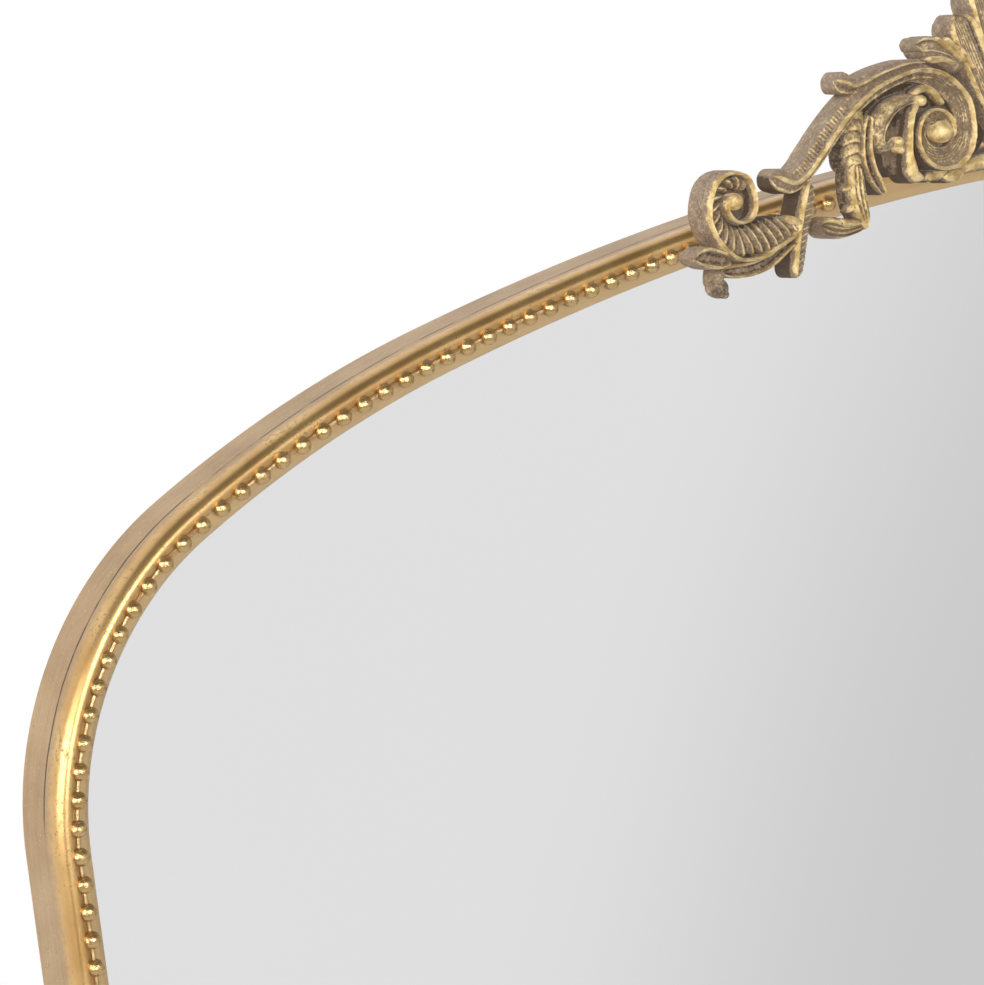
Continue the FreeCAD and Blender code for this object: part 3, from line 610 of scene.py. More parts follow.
AT_APEX = (0, 0, 0)
AT_HAUNCH = start_of(HAUNCH_RADIUS, -HAUNCH_X, HAUNCH_Z, TOP_ANGLE)
AT_SHOULDER = start_of(SHOULDER_RADIUS, -SHOULDER_X, SHOULDER_Z, HAUNCH_ANGLE)
AT_SIDE = (-HALF_LINE, SHOULDER_Z, QUARTER_TURN)
AT_BOTTOM = (-CORNER_X, BOTTOM_Z, HALF_TURN)
AT_RIGHT_HAUNCH = start_of(TOP_RADIUS, 0, -TOP_RADIUS, -TOP_ANGLE)

moulding = moulding_profile()
rail = rail_profile()
moulding_top = timber("moulding_top_left_gilt", moulding, *AT_APEX, [sweep_top, sweep_haunch])
moulding_side = timber("moulding_left_gilt", moulding, *AT_SHOULDER,
                       [sweep_shoulder, sweep_side, sweep_corner])
moulding_low = timber("moulding_bottom_gilt", moulding, *AT_BOTTOM, [sweep_bottom])
rail_top = timber("rail_top_gilt", rail, *AT_RIGHT_HAUNCH, [sweep_whole_top])
rail_shoulder = timber("rail_shoulder_left_gilt", rail, *AT_HAUNCH, [sweep_haunch, sweep_shoulder])
rail_side = timber("rail_left_gilt", rail, *AT_SIDE, [sweep_side, sweep_corner])
rail_low = timber("rail_bottom_gilt", rail, *AT_BOTTOM, [sweep_bottom])

for piece, slot, node in (
        (moulding_top, "gilt_wood", "moulding_top_left"),
        (mirror_of(moulding_top, "moulding_top_right_gilt"), "gilt_wood", "moulding_top_right"),
        (moulding_side, "gilt_wood", "moulding_left"),
        (mirror_of(moulding_side, "moulding_right_gilt"), "gilt_wood", "moulding_right"),
        (moulding_low, "gilt_wood", "moulding_bottom"),
        (rail_top, "gilt_rail", "rail_top"),
        (rail_shoulder, "gilt_rail", "rail_shoulder_left"),
        (mirror_of(rail_shoulder, "rail_shoulder_right_gilt"), "gilt_rail", "rail_shoulder_right"),
        (rail_side, "gilt_rail", "rail_left"),
        (mirror_of(rail_side, "rail_right_gilt"), "gilt_rail", "rail_right"),
        (rail_low, "gilt_rail", "rail_bottom")):
    dress(piece, slot, "frame", node)


# Pearls

def arc_places(centre_x, centre_z, radius, start, end):
    """Length of an arc and the place and outward angle at a distance along it."""
    def at(distance):
        angle = start + distance / radius
        return centre_x - radius * math.sin(angle), centre_z + radius * math.cos(angle), angle
    return radius * (end - start), at


def run_places(start, end, angle):
    length = math.dist(start, end)

    def at(distance):
        share = distance / length
        return start[0] + share * (end[0] - start[0]), start[1] + share * (end[1] - start[1]), angle
    return length, at


LINE_TOP = arc_places(0, -TOP_RADIUS, TOP_RADIUS, 0, TOP_ANGLE)
LINE_HAUNCH = arc_places(-HAUNCH_X, HAUNCH_Z, HAUNCH_RADIUS, TOP_ANGLE, HAUNCH_ANGLE)
LINE_SHOULDER = arc_places(-SHOULDER_X, SHOULDER_Z, SHOULDER_RADIUS, HAUNCH_ANGLE, QUARTER_TURN)
LINE_SIDE = run_places((-HALF_LINE, SHOULDER_Z), (-HALF_LINE, CORNER_Z), QUARTER_TURN)
LINE_CORNER = arc_places(-CORNER_X, CORNER_Z, CORNER_RADIUS, QUARTER_TURN, HALF_TURN)
LINE_BOTTOM = run_places((-CORNER_X, BOTTOM_Z), (CORNER_X, BOTTOM_Z), HALF_TURN)


def place_along(lines, distance):
    for length, at in lines:
        if distance <= length:
            break
        distance -= length
    return at(min(distance, length))


# The pearls stand a little wider than their studs and differ slightly; these are the limits of the shares.
PEARL_WIDTH_SHARE = 1.1
WIDE_SHARES = (0.96, 1.02)
TALL_SHARES = (0.96, 1)
DEEP_SHARES = (0.94, 1)
PEARL_SEGMENTS = 12
PEARL_RINGS = 8
PEARL_SMOOTH_DEGREES = 60
LINK_RADIUS = 0.8 * MM
LINK_DROP = 0.9 * MM
LINK_SIDES = 6


def pearl_strip(name, lines, first, last):
    """Round pearls joined by short links, sitting on the flat of the moulding."""
    gaps = round((last - first) / PEARL_PITCH)
    step = (last - first) / gaps
    chance = random.Random(name)
    deselect()
    bpy.ops.mesh.primitive_uv_sphere_add(segments=PEARL_SEGMENTS, ring_count=PEARL_RINGS, radius=PEARL_RADIUS)
    pearl = bpy.context.object
    bpy.ops.mesh.primitive_cylinder_add(vertices=LINK_SIDES, radius=LINK_RADIUS, depth=step,
                                        rotation=(0, QUARTER_TURN, 0))
    link = bpy.context.object
    settle(link)
    pale = link.data.attributes.new("pale", "FLOAT", "POINT")
    pale.data.foreach_set("value", [1.0] * len(link.data.vertices))
    pieces = []
    for number in range(gaps + 1):
        x, z, angle = place_along(lines, first + number * step)
        bead = copy_of(pearl)
        wide = PEARL_WIDTH_SHARE * chance.uniform(*WIDE_SHARES)
        tall = PEARL_WIDTH_SHARE * chance.uniform(*TALL_SHARES)
        deep = chance.uniform(*DEEP_SHARES)
        turned = Matrix.Rotation(-angle, 4, "Y") @ Matrix.Diagonal((wide, deep, tall, 1))
        rolled = Matrix.Rotation(chance.uniform(0, HALF_TURN), 4, "Y")
        bead.data.transform(Matrix.Translation(on_frame(x, 0, z)) @ turned @ rolled)
        pieces.append(bead)
        if number == 0:
            continue
        x, z, angle = place_along(lines, first + (number - 0.5) * step)
        tie = copy_of(link)
        tie.data.transform(Matrix.Translation(on_frame(x, LINK_DROP, z)) @ Matrix.Rotation(-angle, 4, "Y"))
        pieces.append(tie)
    for blank in (pearl, link):
        bpy.data.objects.remove(blank)
    strip = joined(pieces, name)
    smooth_by_angle(strip, PEARL_SMOOTH_DEGREES)
    return strip


def length_of(lines):
    return sum(line[0] for line in lines)


# The pearls of the arch keep their pitch to its end, and those of the side go on from there.
ARCH = [LINE_TOP, LINE_HAUNCH]
SIDE = [LINE_SHOULDER, LINE_SIDE, LINE_CORNER]
ARCH_FIRST = BARE_LENGTH + PEARL_PITCH / 2
ARCH_LAST = length_of(ARCH) - (length_of(ARCH) - ARCH_FIRST) % PEARL_PITCH
SIDE_FIRST = ARCH_LAST + PEARL_PITCH - length_of(ARCH)
strip_top = pearl_strip("pearl_row_top_left", ARCH, ARCH_FIRST, ARCH_LAST)
strip_side = pearl_strip("pearl_row_left", SIDE, SIDE_FIRST, length_of(SIDE) - PEARL_PITCH / 2)
strip_low = pearl_strip("pearl_row_bottom", [LINE_BOTTOM], PEARL_PITCH / 2, LINE_BOTTOM[0] - PEARL_PITCH / 2)
for piece, node in (
        (strip_top, "pearls_top_left"),
        (mirror_of(strip_top, "pearl_row_top_right"), "pearls_top_right"),
        (strip_side, "pearls_left"),
        (mirror_of(strip_side, "pearl_row_right"), "pearls_right"),
        (strip_low, "pearls_bottom")):
    dress(piece, "gilt_resin", "frame", node)


# Crest

# Each line is a list of (across from the middle, up from the top of the pearls' line, width) in
# millimetres along the middle of a scroll, leaf or stem of the left half.
MAIN_SCROLL = [
    (-139, 10.5, 8.5), (-135, 8.5, 8.5), (-131, 7, 8), (-127, 8, 7.5), (-122.5, 11, 7.5), (-118, 15, 8),
    (-108.5, 23.5, 8), (-98.5, 31, 8), (-89, 36, 8), (-79, 39, 7.5), (-69, 40.5, 7), (-62, 39.5, 5.5),
    (-56.5, 37.5, 3),
]
RIGHT_VOLUTE = [
    (-71.5, 39, 4), (-65.5, 38.5, 5.5), (-59.5, 37, 6.5), (-54, 34, 7), (-49.5, 30, 7), (-46, 25, 7),
    (-45, 19.5, 6.5), (-45.5, 13.5, 7), (-48.5, 9, 9), (-53.5, 6, 9), (-60, 6.5, 9), (-65, 10, 8.5),
    (-67, 15.5, 7.5), (-65, 20.5, 7), (-60, 22.5, 6), (-55.5, 20.5, 5), (-54, 17, 4), (-55, 13.5, 2.6),
]
LEFT_WING = [
    (-127, -8.5, 4), (-133, -9, 8), (-139, -9.5, 11), (-145.5, -10.5, 12.5), (-152, -11, 12),
    (-158, -10.5, 11), (-163, -7, 9), (-166, -2, 7), (-166.5, 3.5, 6.5), (-164, 8, 6), (-160, 10.5, 5.5),
    (-155.5, 10.5, 5), (-152.5, 7.5, 4),
]
LEFT_RIM = [
    (-130, -10.5, 1.4), (-138, -14, 1.6), (-145, -16.5, 1.8), (-152, -18, 1.8), (-159, -17, 1.8),
    (-165, -13, 1.9), (-169.5, -7, 2), (-171.5, -0.5, 2.1), (-170.5, 5.5, 2.2), (-168, 10.5, 2.2),
    (-164, 13.5, 2.1), (-158.5, 14.5, 2), (-153.5, 13, 2), (-151, 9.5, 2), (-150, 4.5, 2), (-150.5, 0, 1.9),
    (-152.5, -3, 1.8), (-156.5, -4, 1.7), (-160.5, -2.5, 1.6), (-163, 1, 1.5), (-163, 4, 1.4),
    (-161, 6.5, 1.2),
]
SIDE_LOBE = [(-179, -14, 1.6), (-177, -14, 5), (-172.5, -14.5, 8), (-167.5, -16, 7.5), (-162.5, -17, 4)]
UNDER_LEAF = [(-167.5, -20.5, 2.2), (-163, -21, 4.8), (-156.5, -21.5, 5.6), (-150.5, -21, 5.6),
              (-144.5, -19.5, 4.8), (-137.5, -16, 4), (-131, -13, 3)]
UNDER_NECK = [(-166, -19, 4), (-167, -23.5, 4), (-167.5, -26.5, 3)]
FOOT = [(-122, 6.5, 7), (-124.4, -1, 8), (-127.3, -8.5, 8), (-129.3, -15, 7.8), (-131.3, -22, 7.2),
        (-133, -28, 6)]
FOOT_PAD = [(-137, -5.5, 2.6), (-133, -6.5, 4), (-129, -8.5, 3)]
UPPER_LEAF = [(-104.5, 41.5, 9.5), (-101, 40, 8.5), (-97.5, 38.5, 6), (-93, 39, 4.6), (-86.5, 41, 4),
              (-79, 42.5, 3.6), (-70, 43.5, 3), (-63, 43, 2)]
ACANTHUS = [(-94.5, 29.5, 5.5), (-97.5, 24, 8), (-99.3, 18.5, 9), (-100, 12.5, 9), (-99.5, 6.5, 8.5)]
ACANTHUS_TAIL = [(-100, 10.5, 7), (-100.5, 3, 9), (-100, -4.5, 9), (-98.8, -10, 7), (-98, -15, 3.5)]
SPUR = [(-98, 4.5, 4.5), (-101.5, 3, 5), (-106, 0.5, 2)]
LOW_CURL = [(-98.5, -3, 4), (-102, -5, 4.5), (-106, -7.5, 2.4)]
LOW_LOBE = [(-97.5, -12.5, 5), (-103, -13.5, 6), (-108.5, -13.5, 7), (-114, -12, 8), (-118, -10.5, 6.5)]
LOW_PAD = [(-111, -9.5, 2.4), (-107, -11.5, 3.4), (-101.5, -12, 2.4)]
INNER_LEAF = [(-92, 27, 2.4), (-94, 21, 4), (-95, 13.5, 4.6), (-94, 7, 5), (-91.5, 1.5, 4.4),
              (-88.5, -3.5, 1.6)]
SMALL_SCROLL = [(-69, 30.5, 3.5), (-75, 30, 5), (-81.5, 28, 6.8), (-86.5, 23.5, 7.6), (-88.5, 18.5, 6.6),
                (-87, 14.5, 4.6), (-84, 14, 3.6), (-81.5, 16, 2.8)]
LEAF_BODY = [(-90, 16, 6), (-88.5, 9, 8), (-86, 3, 4)]
STEM = [(-68.5, 28, 2.2), (-71, 25, 2.2), (-73, 20, 2.4), (-74, 14.5, 2.8), (-74.5, 10, 4.2), (-74, 5.5, 6.6),
        (-73, 2, 6), (-69, 0, 4)]
TOP_LOOP = [(-69.5, 31.5, 3), (-65.5, 33, 3.2), (-61.5, 33, 3.4), (-58.5, 30.5, 3.4), (-55, 26, 3)]
TUFT_BODY = [(-63.5, 49, 8), (-58, 47.5, 9.5), (-50, 43.5, 10), (-43, 38.5, 9)]
TUFT = [
    [(-65, 50, 4.4), (-62.5, 49.5, 5.6), (-58.5, 49, 5.6), (-53.5, 47, 4.5), (-48.5, 44, 3)],
    [(-62, 44, 2.2), (-58, 43.5, 3.4), (-53.5, 43, 3), (-49, 41, 2)],
    [(-57, 51.5, 2.4), (-53.5, 49, 3.2), (-49.5, 45.5, 3), (-45.5, 41, 2)],
    [(-52, 51, 2.2), (-49, 48, 3), (-46, 44.5, 3), (-43, 40, 2)],
    [(-47, 48, 2), (-44.5, 45, 2.8), (-42, 41.5, 2.6), (-39.5, 37.5, 2)],
]
BASE = [(6, 2.5, 8), (-20, 2.5, 8), (-40, 1.8, 6.5), (-57, 0.6, 5), (-66, -0.6, 3.5)]
BRACKET = [(-58, -1, 4.4), (-53, -1, 5.6), (-48.5, 0, 4.6)]
RECESS = [(-93, 24, 6), (-86, 27, 10), (-77, 30, 12), (-68, 32, 12), (-60, 31, 10), (-54, 26, 8)]
PETALS = [
    [(-22, 4, 6), (-29.5, 20, 10), (-37.5, 40, 12.5), (-44.5, 58.5, 12.5)],
    [(-17, 4, 6), (-22.5, 25, 10), (-28, 48, 12.5), (-33, 68.5, 12.5)],
    [(-11.5, 4, 6), (-15, 30, 9.5), (-18.5, 55, 12), (-21.5, 78.5, 12)],
    [(-6, 4, 6), (-7.5, 35, 9), (-9.5, 62, 12), (-11, 86.5, 12)],
]
MIDDLE_PETAL = [(0, 5, 6), (0, 42, 9), (0, 70, 12), (0, 94.5, 12)]
# Balls: across, up, radius, height of the top above the crest's back.
BALLS = [
    (-158.5, 4, 3.1, 13.4), (-56, 16, 4.2, 13.6), (-66.5, 29, 2, 13.4), (-77, 15, 1.9, 10.5),
    (-76.5, 12, 1.5, 10.5),
]
KNOBS = [(-167.3, -26.6, 3.7, 10.5), (-165.2, -29.1, 1.6, 9)]
# Round floors inside the volutes, dark all over with painted shade: across, up, radius, height.
FLOORS = [(-154, 2.5, 8, 5), (-55, 16.5, 11, 4), (-80, 21, 7, 4.5), (-80, 9, 7, 4), (-61, 27, 5, 4.5),
          (-40, 14, 9, 4.5)]

# Cross sections: place across from the inner side (-1) to the outer one (1), height as a share, and the
# wash there: gold on the ridges above zero, brown wash with painted shade in the hollows below.
RIDGED = [(-1, 0.62, 0), (-0.9, 0.74, 0.5), (-0.75, 0.75, 0.4), (-0.55, 0.72, -0.3), (-0.25, 0.8, -0.1),
          (-0.16, 0.97, 0.9), (0, 1, 1), (0.14, 0.97, 0.9), (0.24, 0.82, -0.2), (0.4, 0.76, 0),
          (0.8, 0.74, 0.1), (0.93, 0.72, 0.3), (1, 0.6, 0)]
DISHED = [(-1, 0.54, -0.2), (-0.9, 0.6, 0.3), (-0.6, 0.57, 0), (0, 0.58, 0.1), (0.4, 0.66, 0),
          (0.62, 0.8, 0), (0.72, 0.97, 0.9), (0.84, 1, 1), (0.94, 0.94, 0.7), (1, 0.78, 0.1)]
RIMMED = [(-1, 0.68, 0), (-0.92, 0.92, 0.7), (-0.8, 1, 1), (-0.64, 0.9, 0.4), (-0.45, 0.74, -0.6),
          (0, 0.72, 0), (0.45, 0.74, -0.6), (0.64, 0.9, 0.4), (0.8, 1, 1), (0.92, 0.92, 0.7), (1, 0.68, 0)]
ROUND = [(-1, 0.58, -0.2), (-0.8, 0.82, 0.3), (-0.4, 0.96, 0.8), (0, 1, 1), (0.4, 0.96, 0.8),
         (0.8, 0.82, 0.3), (1, 0.58, -0.2)]
RIBBED = [(-1, 0.58, 0), (-0.84, 0.84, 0.4), (-0.7, 0.98, 1), (-0.54, 0.96, 0.9), (-0.35, 0.76, -0.3),
          (-0.1, 0.93, 0.7), (0.1, 0.74, -0.3), (0.4, 0.9, 0.6), (0.6, 0.7, -0.3), (0.82, 0.82, 0.4),
          (1, 0.56, 0)]
WINGED = [(-1, 0.48, -0.4), (-0.8, 0.68, 0), (-0.2, 0.84, 0.1), (0.4, 0.9, 0.15), (0.8, 0.86, 0.1),
          (1, 0.72, -0.4)]
SCALED = [(-1, 0.58, -0.2), (-0.8, 0.76, 0.3), (-0.3, 0.88, 0.4), (0.3, 0.88, 0.4), (0.8, 0.76, 0.3),
          (1, 0.58, -0.2)]
PLAIN = [(-1, 0.7, 0), (-0.8, 0.86, 0), (-0.4, 0.97, 0.1), (0, 1, 0.1), (0.4, 0.97, 0.1), (0.8, 0.86, 0),
         (1, 0.7, 0)]
# A flat sheet, dark all over with painted shade.
SHADED_FLAT = [(-1, 1, -0.8), (1, 1, -0.8)]
VEINED = [(-1, 0.62, 0), (-0.86, 0.86, 0.4), (-0.72, 0.98, 1), (-0.56, 0.96, 0.9), (-0.4, 0.84, -0.3),
          (-0.2, 0.82, 0.1), (0.3, 0.8, 0.2), (0.8, 0.72, 0.2), (1, 0.5, 0)]
PLUMP = [(-1, 0.55, -0.3), (-0.75, 0.8, 0.3), (-0.3, 0.95, 0.3), (0.2, 0.99, 0.2), (0.55, 0.9, 0),
         (0.74, 0.76, -0.4), (0.88, 0.9, 0.9), (1, 0.7, 0)]
FLUTED = [(-1, 0.72, 0), (-0.95, 0.92, 0.7), (-0.86, 1, 1), (-0.77, 0.93, 0.6), (-0.66, 0.82, -0.3),
          (-0.3, 0.77, 0.2), (0, 0.75, 0.2), (0.3, 0.77, 0.2), (0.66, 0.82, -0.3), (0.77, 0.93, 0.6),
          (0.86, 1, 1), (0.95, 0.92, 0.7), (1, 0.72, 0)]


def between(keys, place):
    """Values of a cross section at a place across it."""
    for low, high in zip(keys, keys[1:]):
        if place <= high[0]:
            break
    share = min(max((place - low[0]) / (high[0] - low[0]), 0), 1)
    return [first + share * (last - first) for first, last in zip(low[1:], high[1:])]


DENSE_PER_MILLIMETRE = 4
TINY = 1e-9


def spread_line(points, step):
    """Points at an even step on a smooth line through the given ones: place, direction and width."""
    guides = [Vector(point) for point in points]
    guides = [2 * guides[0] - guides[1]] + guides + [2 * guides[-1] - guides[-2]]
    dense = []
    for one, two, three, four in zip(guides, guides[1:], guides[2:], guides[3:]):
        pieces = max(2, math.ceil((three.xy - two.xy).length * DENSE_PER_MILLIMETRE))
        for number in range(pieces):
            way = number / pieces
            square = (2 * one - 5 * two + 4 * three - four) * way ** 2
            cube = (3 * two - one - 3 * three + four) * way ** 3
            dense.append(0.5 * (2 * two + (three - one) * way + square + cube))
    dense.append(guides[-2])
    lengths = [0]
    for here, there in zip(dense, dense[1:]):
        lengths.append(lengths[-1] + (there.xy - here.xy).length)
    count = max(4, round(lengths[-1] / step))
    places = []
    at = 0
    for number in range(count + 1):
        goal = lengths[-1] * number / count
        while at < len(lengths) - 2 and lengths[at + 1] < goal:
            at += 1
        share = (goal - lengths[at]) / max(lengths[at + 1] - lengths[at], TINY)
        places.append(dense[at].lerp(dense[at + 1], share))
    return places, lengths[-1]


TIP_SHARE = 0.02


def round_end(distance, half):
    """Share of the width that is left near a rounded end."""
    if distance >= half or half <= 0:
        return 1
    return math.sqrt(max(1 - (1 - distance / half) ** 2, TIP_SHARE))


def no_carving(along, across):
    return 0, 0


# The carving: which share of a band is hatched, how feathers and scales bend over a band, how sharp their
# edges and hollows are, and how much gold, or brown with painted shade, the ridges, edges and hollows take.
HATCHED_SHARES = (0.3, 0.95)
HATCH_GOLD = 0.4
STRIPE_GOLD = 0.3
FEATHER_BEND = 0.25
FEATHER_FULLNESS = 0.7
FEATHER_SHARPNESS = 5
FEATHER_GOLD = 1.4
# Painted shade between the feathers.
FEATHER_SHADE = 0.5
SCALE_BEND = 0.5
SCALE_GOLD = 0.9
SCALE_EDGE_SHARE = 0.25
SCALE_HOLLOW_SHARE = 0.2


def hatching(pitch, depth, start, end):
    """Fine ridges across the outer side of a band, on part of its length, gold on top with painted shade
    between.
    """
    def carve(along, across):
        if not (start < along < end and HATCHED_SHARES[0] < across < HATCHED_SHARES[1]):
            return 0, 0
        wave = math.cos(2 * math.pi * along / pitch)
        return depth * wave / 2, HATCH_GOLD * wave
    return carve


def feathering(pitch, depth, slant, inner=-1):
    """Ribs that lie slantwise over a band like feathers, each with a thin bright edge and painted shade
    between.
    """
    def carve(along, across):
        if across < inner:
            return 0, 0
        phase = (along / pitch + slant * across * (1 - FEATHER_BEND * across)) % 1
        edge = max(0, 1 - abs(phase - 0.5) * FEATHER_SHARPNESS)
        cut = depth * (math.sin(math.pi * phase) ** FEATHER_FULLNESS - 1)
        return cut, FEATHER_GOLD * edge - FEATHER_SHADE
    return carve


def scaling(pitch, depth):
    """Leaf folds that overlap like scales, each with a curved edge and painted shade in its hollow."""
    def carve(along, across):
        phase = (along / pitch - SCALE_BEND * across * across) % 1
        edge = max(0, phase - 1 + SCALE_EDGE_SHARE) / SCALE_EDGE_SHARE
        hollow_shade = max(0, SCALE_HOLLOW_SHARE - phase) / SCALE_HOLLOW_SHARE
        return depth * (phase - 1), SCALE_GOLD * (edge - hollow_shade)
    return carve


def striping(count, depth):
    """Fine lines along a band, gold on top with painted shade between."""
    def carve(along, across):
        wave = math.cos(math.pi * count * across)
        return depth * wave, STRIPE_GOLD * wave
    return carve


# Wash on a band's inner and outer wall, darkened as painted shade: where it lies in shade, open to the light,
# half open or open outside.
WALLS_IN_SHADE = (-0.8, -0.8)
OPEN = (0, 0)
HALF_OPEN = (-0.4, -0.4)
OPEN_OUTSIDE = (-0.8, 0)
GOLD_OUTSIDE = (-0.8, 0.2)
DUSTING = 0.2
LUMP_SCALE = 0.4
LUMP_HEIGHT = 0.22
END_HEIGHT_SHARE = 0.76
END_GOLD_SHARE = 0.4
WELD = 0.001 * MM


def on_crest(x, height, z):
    return on_frame(x * MM, -CREST_BACK - height * MM, z * MM)


def gild(piece, values):
    gilding_and_shade = piece.data.attributes.new("gilding_and_shade", "FLOAT", "POINT")
    gilding_and_shade.data.foreach_set("value", values)


def carved_band(points, section, height, carve=no_carving, step=0.8, across_count=12, walls=WALLS_IN_SHADE, back=0):
    """A band of the casting: a sheet wrapped along its line, carved to its cross section, with a flat back.

    Lengths are in millimetres; back is the height of the band's flat back.
    """
    places, length = spread_line(points, step)
    round_count = across_count + 3
    deselect()
    bpy.ops.mesh.primitive_grid_add(x_subdivisions=round_count, y_subdivisions=len(places) - 1, size=1)
    piece = bpy.context.object
    gilding_and_shade = []
    for number, vertex in enumerate(piece.data.vertices):
        row, column = divmod(number, round_count + 1)
        column %= round_count
        place = places[row]
        ahead = (places[min(row + 1, len(places) - 1)].xy - places[max(row - 1, 0)].xy).normalized()
        across = min(2 * column / across_count - 1, 1)
        # The back edges of the walls take the walls' values: painted shade where a wall lies in shade.
        top = back
        gold = walls[1]
        if column == across_count + 2:
            across = -1
            gold = walls[0]
        along = length * row / (len(places) - 1)
        half = place.z / 2
        left = min(round_end(along, half), round_end(length - along, half))
        shift = across * half * left
        spot = (place.x - ahead.y * shift, place.y + ahead.x * shift)
        if column <= across_count:
            rise, gold = between(section, across)
            cut, rubbed = carve(along, across)
            lump = LUMP_HEIGHT * noise.noise(Vector((*spot, height)) * LUMP_SCALE)
            top = height * (rise + cut) * (END_HEIGHT_SHARE + (1 - END_HEIGHT_SHARE) * left) + lump
            dusting = DUSTING if gold >= 0 else 0
            gold = min(max(gold + rubbed + dusting, -1), 1) * (END_GOLD_SHARE + (1 - END_GOLD_SHARE) * left)
            if column in (0, across_count):
                gold = min(gold, walls[0 if column == 0 else 1])
        vertex.co = on_crest(spot[0], top, spot[1])
        gilding_and_shade.append(gold)
    gild(piece, gilding_and_shade)
    piece.matrix_world = Matrix.Identity(4)
    edit(piece)
    bpy.ops.mesh.remove_doubles(threshold=WELD)
    bpy.ops.mesh.fill_holes(sides=0)
    bpy.ops.mesh.select_all(action="SELECT")
    bpy.ops.mesh.normals_make_consistent(inside=False)
    leave()
    return piece


BALL_SEGMENTS = 24
BALL_RINGS = 14
FLOOR_SIDES = 40
BALL_GOLD = 1.0
KNOB_GOLD = -0.25
# Floors are dark all over with painted shade.
FLOOR_SHADE = -1.0


def ball(x, z, radius, height, gold):
    """A round boss whose lower half is drawn out to the crest's back."""
    deselect()
    bpy.ops.mesh.primitive_uv_sphere_add(segments=BALL_SEGMENTS, ring_count=BALL_RINGS, radius=radius * MM)
    piece = bpy.context.object
    for vertex in piece.data.vertices:
        drawn = max(vertex.co.y, 0) * (height / radius - 2)
        vertex.co += on_crest(x, height - radius, z) + Vector((0, drawn, 0))
    gild(piece, [gold] * len(piece.data.vertices))
    return piece


def round_floor(x, z, radius, height):
    deselect()
    bpy.ops.mesh.primitive_cylinder_add(vertices=FLOOR_SIDES, radius=radius * MM, depth=height * MM,
                                        rotation=(QUARTER_TURN, 0, 0), location=on_crest(x, height / 2, z))
    piece = bpy.context.object
    settle(piece)
    # The floor's value darkens it all over: painted shade.
    gild(piece, [FLOOR_SHADE] * len(piece.data.vertices))
    return piece


def united(pieces):
    """One closed casting from many overlapping ones."""
    whole = pieces[0]
    for other in pieces[1:]:
        take(whole)
        union = whole.modifiers.new("union", "BOOLEAN")
        union.operation = "UNION"
        union.solver = "MANIFOLD"
        union.object = other
        bpy.ops.object.modifier_apply(modifier=union.name)
        bpy.data.objects.remove(other)
    return whole


TUFT_HEIGHT = 13.4
PETAL_HEIGHT = 13.4
PETAL_DROP = 0.3
MIDDLE_HEIGHT = 13
CREST_SMOOTH_DEGREES = 40


def petal(points, height):
    return carved_band(points, FLUTED, height, striping(count=11, depth=0.014), step=1.6, across_count=44,
                       walls=OPEN)


def left_crest():
    hatched = hatching(pitch=1.55, depth=0.036, start=13, end=46)
    feathered = feathering(pitch=3.6, depth=0.26, slant=0.55)
    veined = feathering(pitch=2.4, depth=0.05, slant=0.9, inner=-0.4)
    pieces = [
        carved_band(MAIN_SCROLL, RIDGED, height=13.8, carve=hatched, step=0.31, across_count=24,
                    walls=OPEN_OUTSIDE),
        carved_band(RIGHT_VOLUTE, DISHED, height=13.6, carve=striping(count=9, depth=0.018), step=0.7,
                    across_count=40),
        carved_band(LEFT_WING, WINGED, height=12.4, carve=feathered, step=0.36, across_count=16,
                    walls=OPEN_OUTSIDE),
        carved_band(LEFT_RIM, ROUND, height=13.4, across_count=6, walls=GOLD_OUTSIDE),
        carved_band(SIDE_LOBE, RIMMED, height=12, walls=OPEN),
        carved_band(UNDER_LEAF, RIMMED, height=12, walls=OPEN),
        carved_band(UNDER_NECK, PLAIN, height=9.5, walls=OPEN),
        carved_band(FOOT, VEINED, height=13.2, carve=veined, step=0.4, across_count=20),
        carved_band(FOOT_PAD, ROUND, height=12.8),
        carved_band(UPPER_LEAF, RIDGED, height=12.8, across_count=20, walls=OPEN),
        carved_band(ACANTHUS, SCALED, height=13, carve=scaling(pitch=4.2, depth=0.12), step=0.4,
                    across_count=16, walls=HALF_OPEN),
        carved_band(ACANTHUS_TAIL, RIBBED, height=12.8, across_count=20, walls=HALF_OPEN, back=3),
        carved_band(LOW_LOBE, RIBBED, height=11.6, across_count=20, walls=OPEN),
        carved_band(LOW_PAD, ROUND, height=12.4),
        carved_band(SPUR, ROUND, height=11.6, walls=OPEN, back=7),
        carved_band(LOW_CURL, ROUND, height=11.4, walls=OPEN, back=7),
        carved_band(INNER_LEAF, RIMMED, height=12.8),
        carved_band(SMALL_SCROLL, PLUMP, height=12.8, across_count=20),
        # A flat sheet behind the leaf, dark with painted shade.
        carved_band(LEAF_BODY, SHADED_FLAT, height=7),
        carved_band(STEM, ROUND, height=13.2, across_count=8),
        carved_band(TOP_LOOP, ROUND, height=12, across_count=8),
        carved_band(TUFT_BODY, PLAIN, height=11.8, walls=OPEN),
        carved_band(BRACKET, ROUND, height=12.6, across_count=8),
        # A flat sheet in the recess, dark with painted shade.
        carved_band(RECESS, SHADED_FLAT, height=5, step=1.6, across_count=4),
        carved_band(BASE, ROUND, height=10.5, step=1.6, across_count=8),
    ]
    for number, leaf in enumerate(TUFT):
        pieces.append(carved_band(leaf, RIMMED if number == 0 else ROUND, TUFT_HEIGHT, walls=OPEN))
    pieces += [petal(points, PETAL_HEIGHT - PETAL_DROP * number) for number, points in enumerate(PETALS)]
    pieces += [ball(*places, BALL_GOLD) for places in BALLS]
    pieces += [ball(*places, KNOB_GOLD) for places in KNOBS]
    pieces += [round_floor(*places) for places in FLOORS]
    return united(pieces)


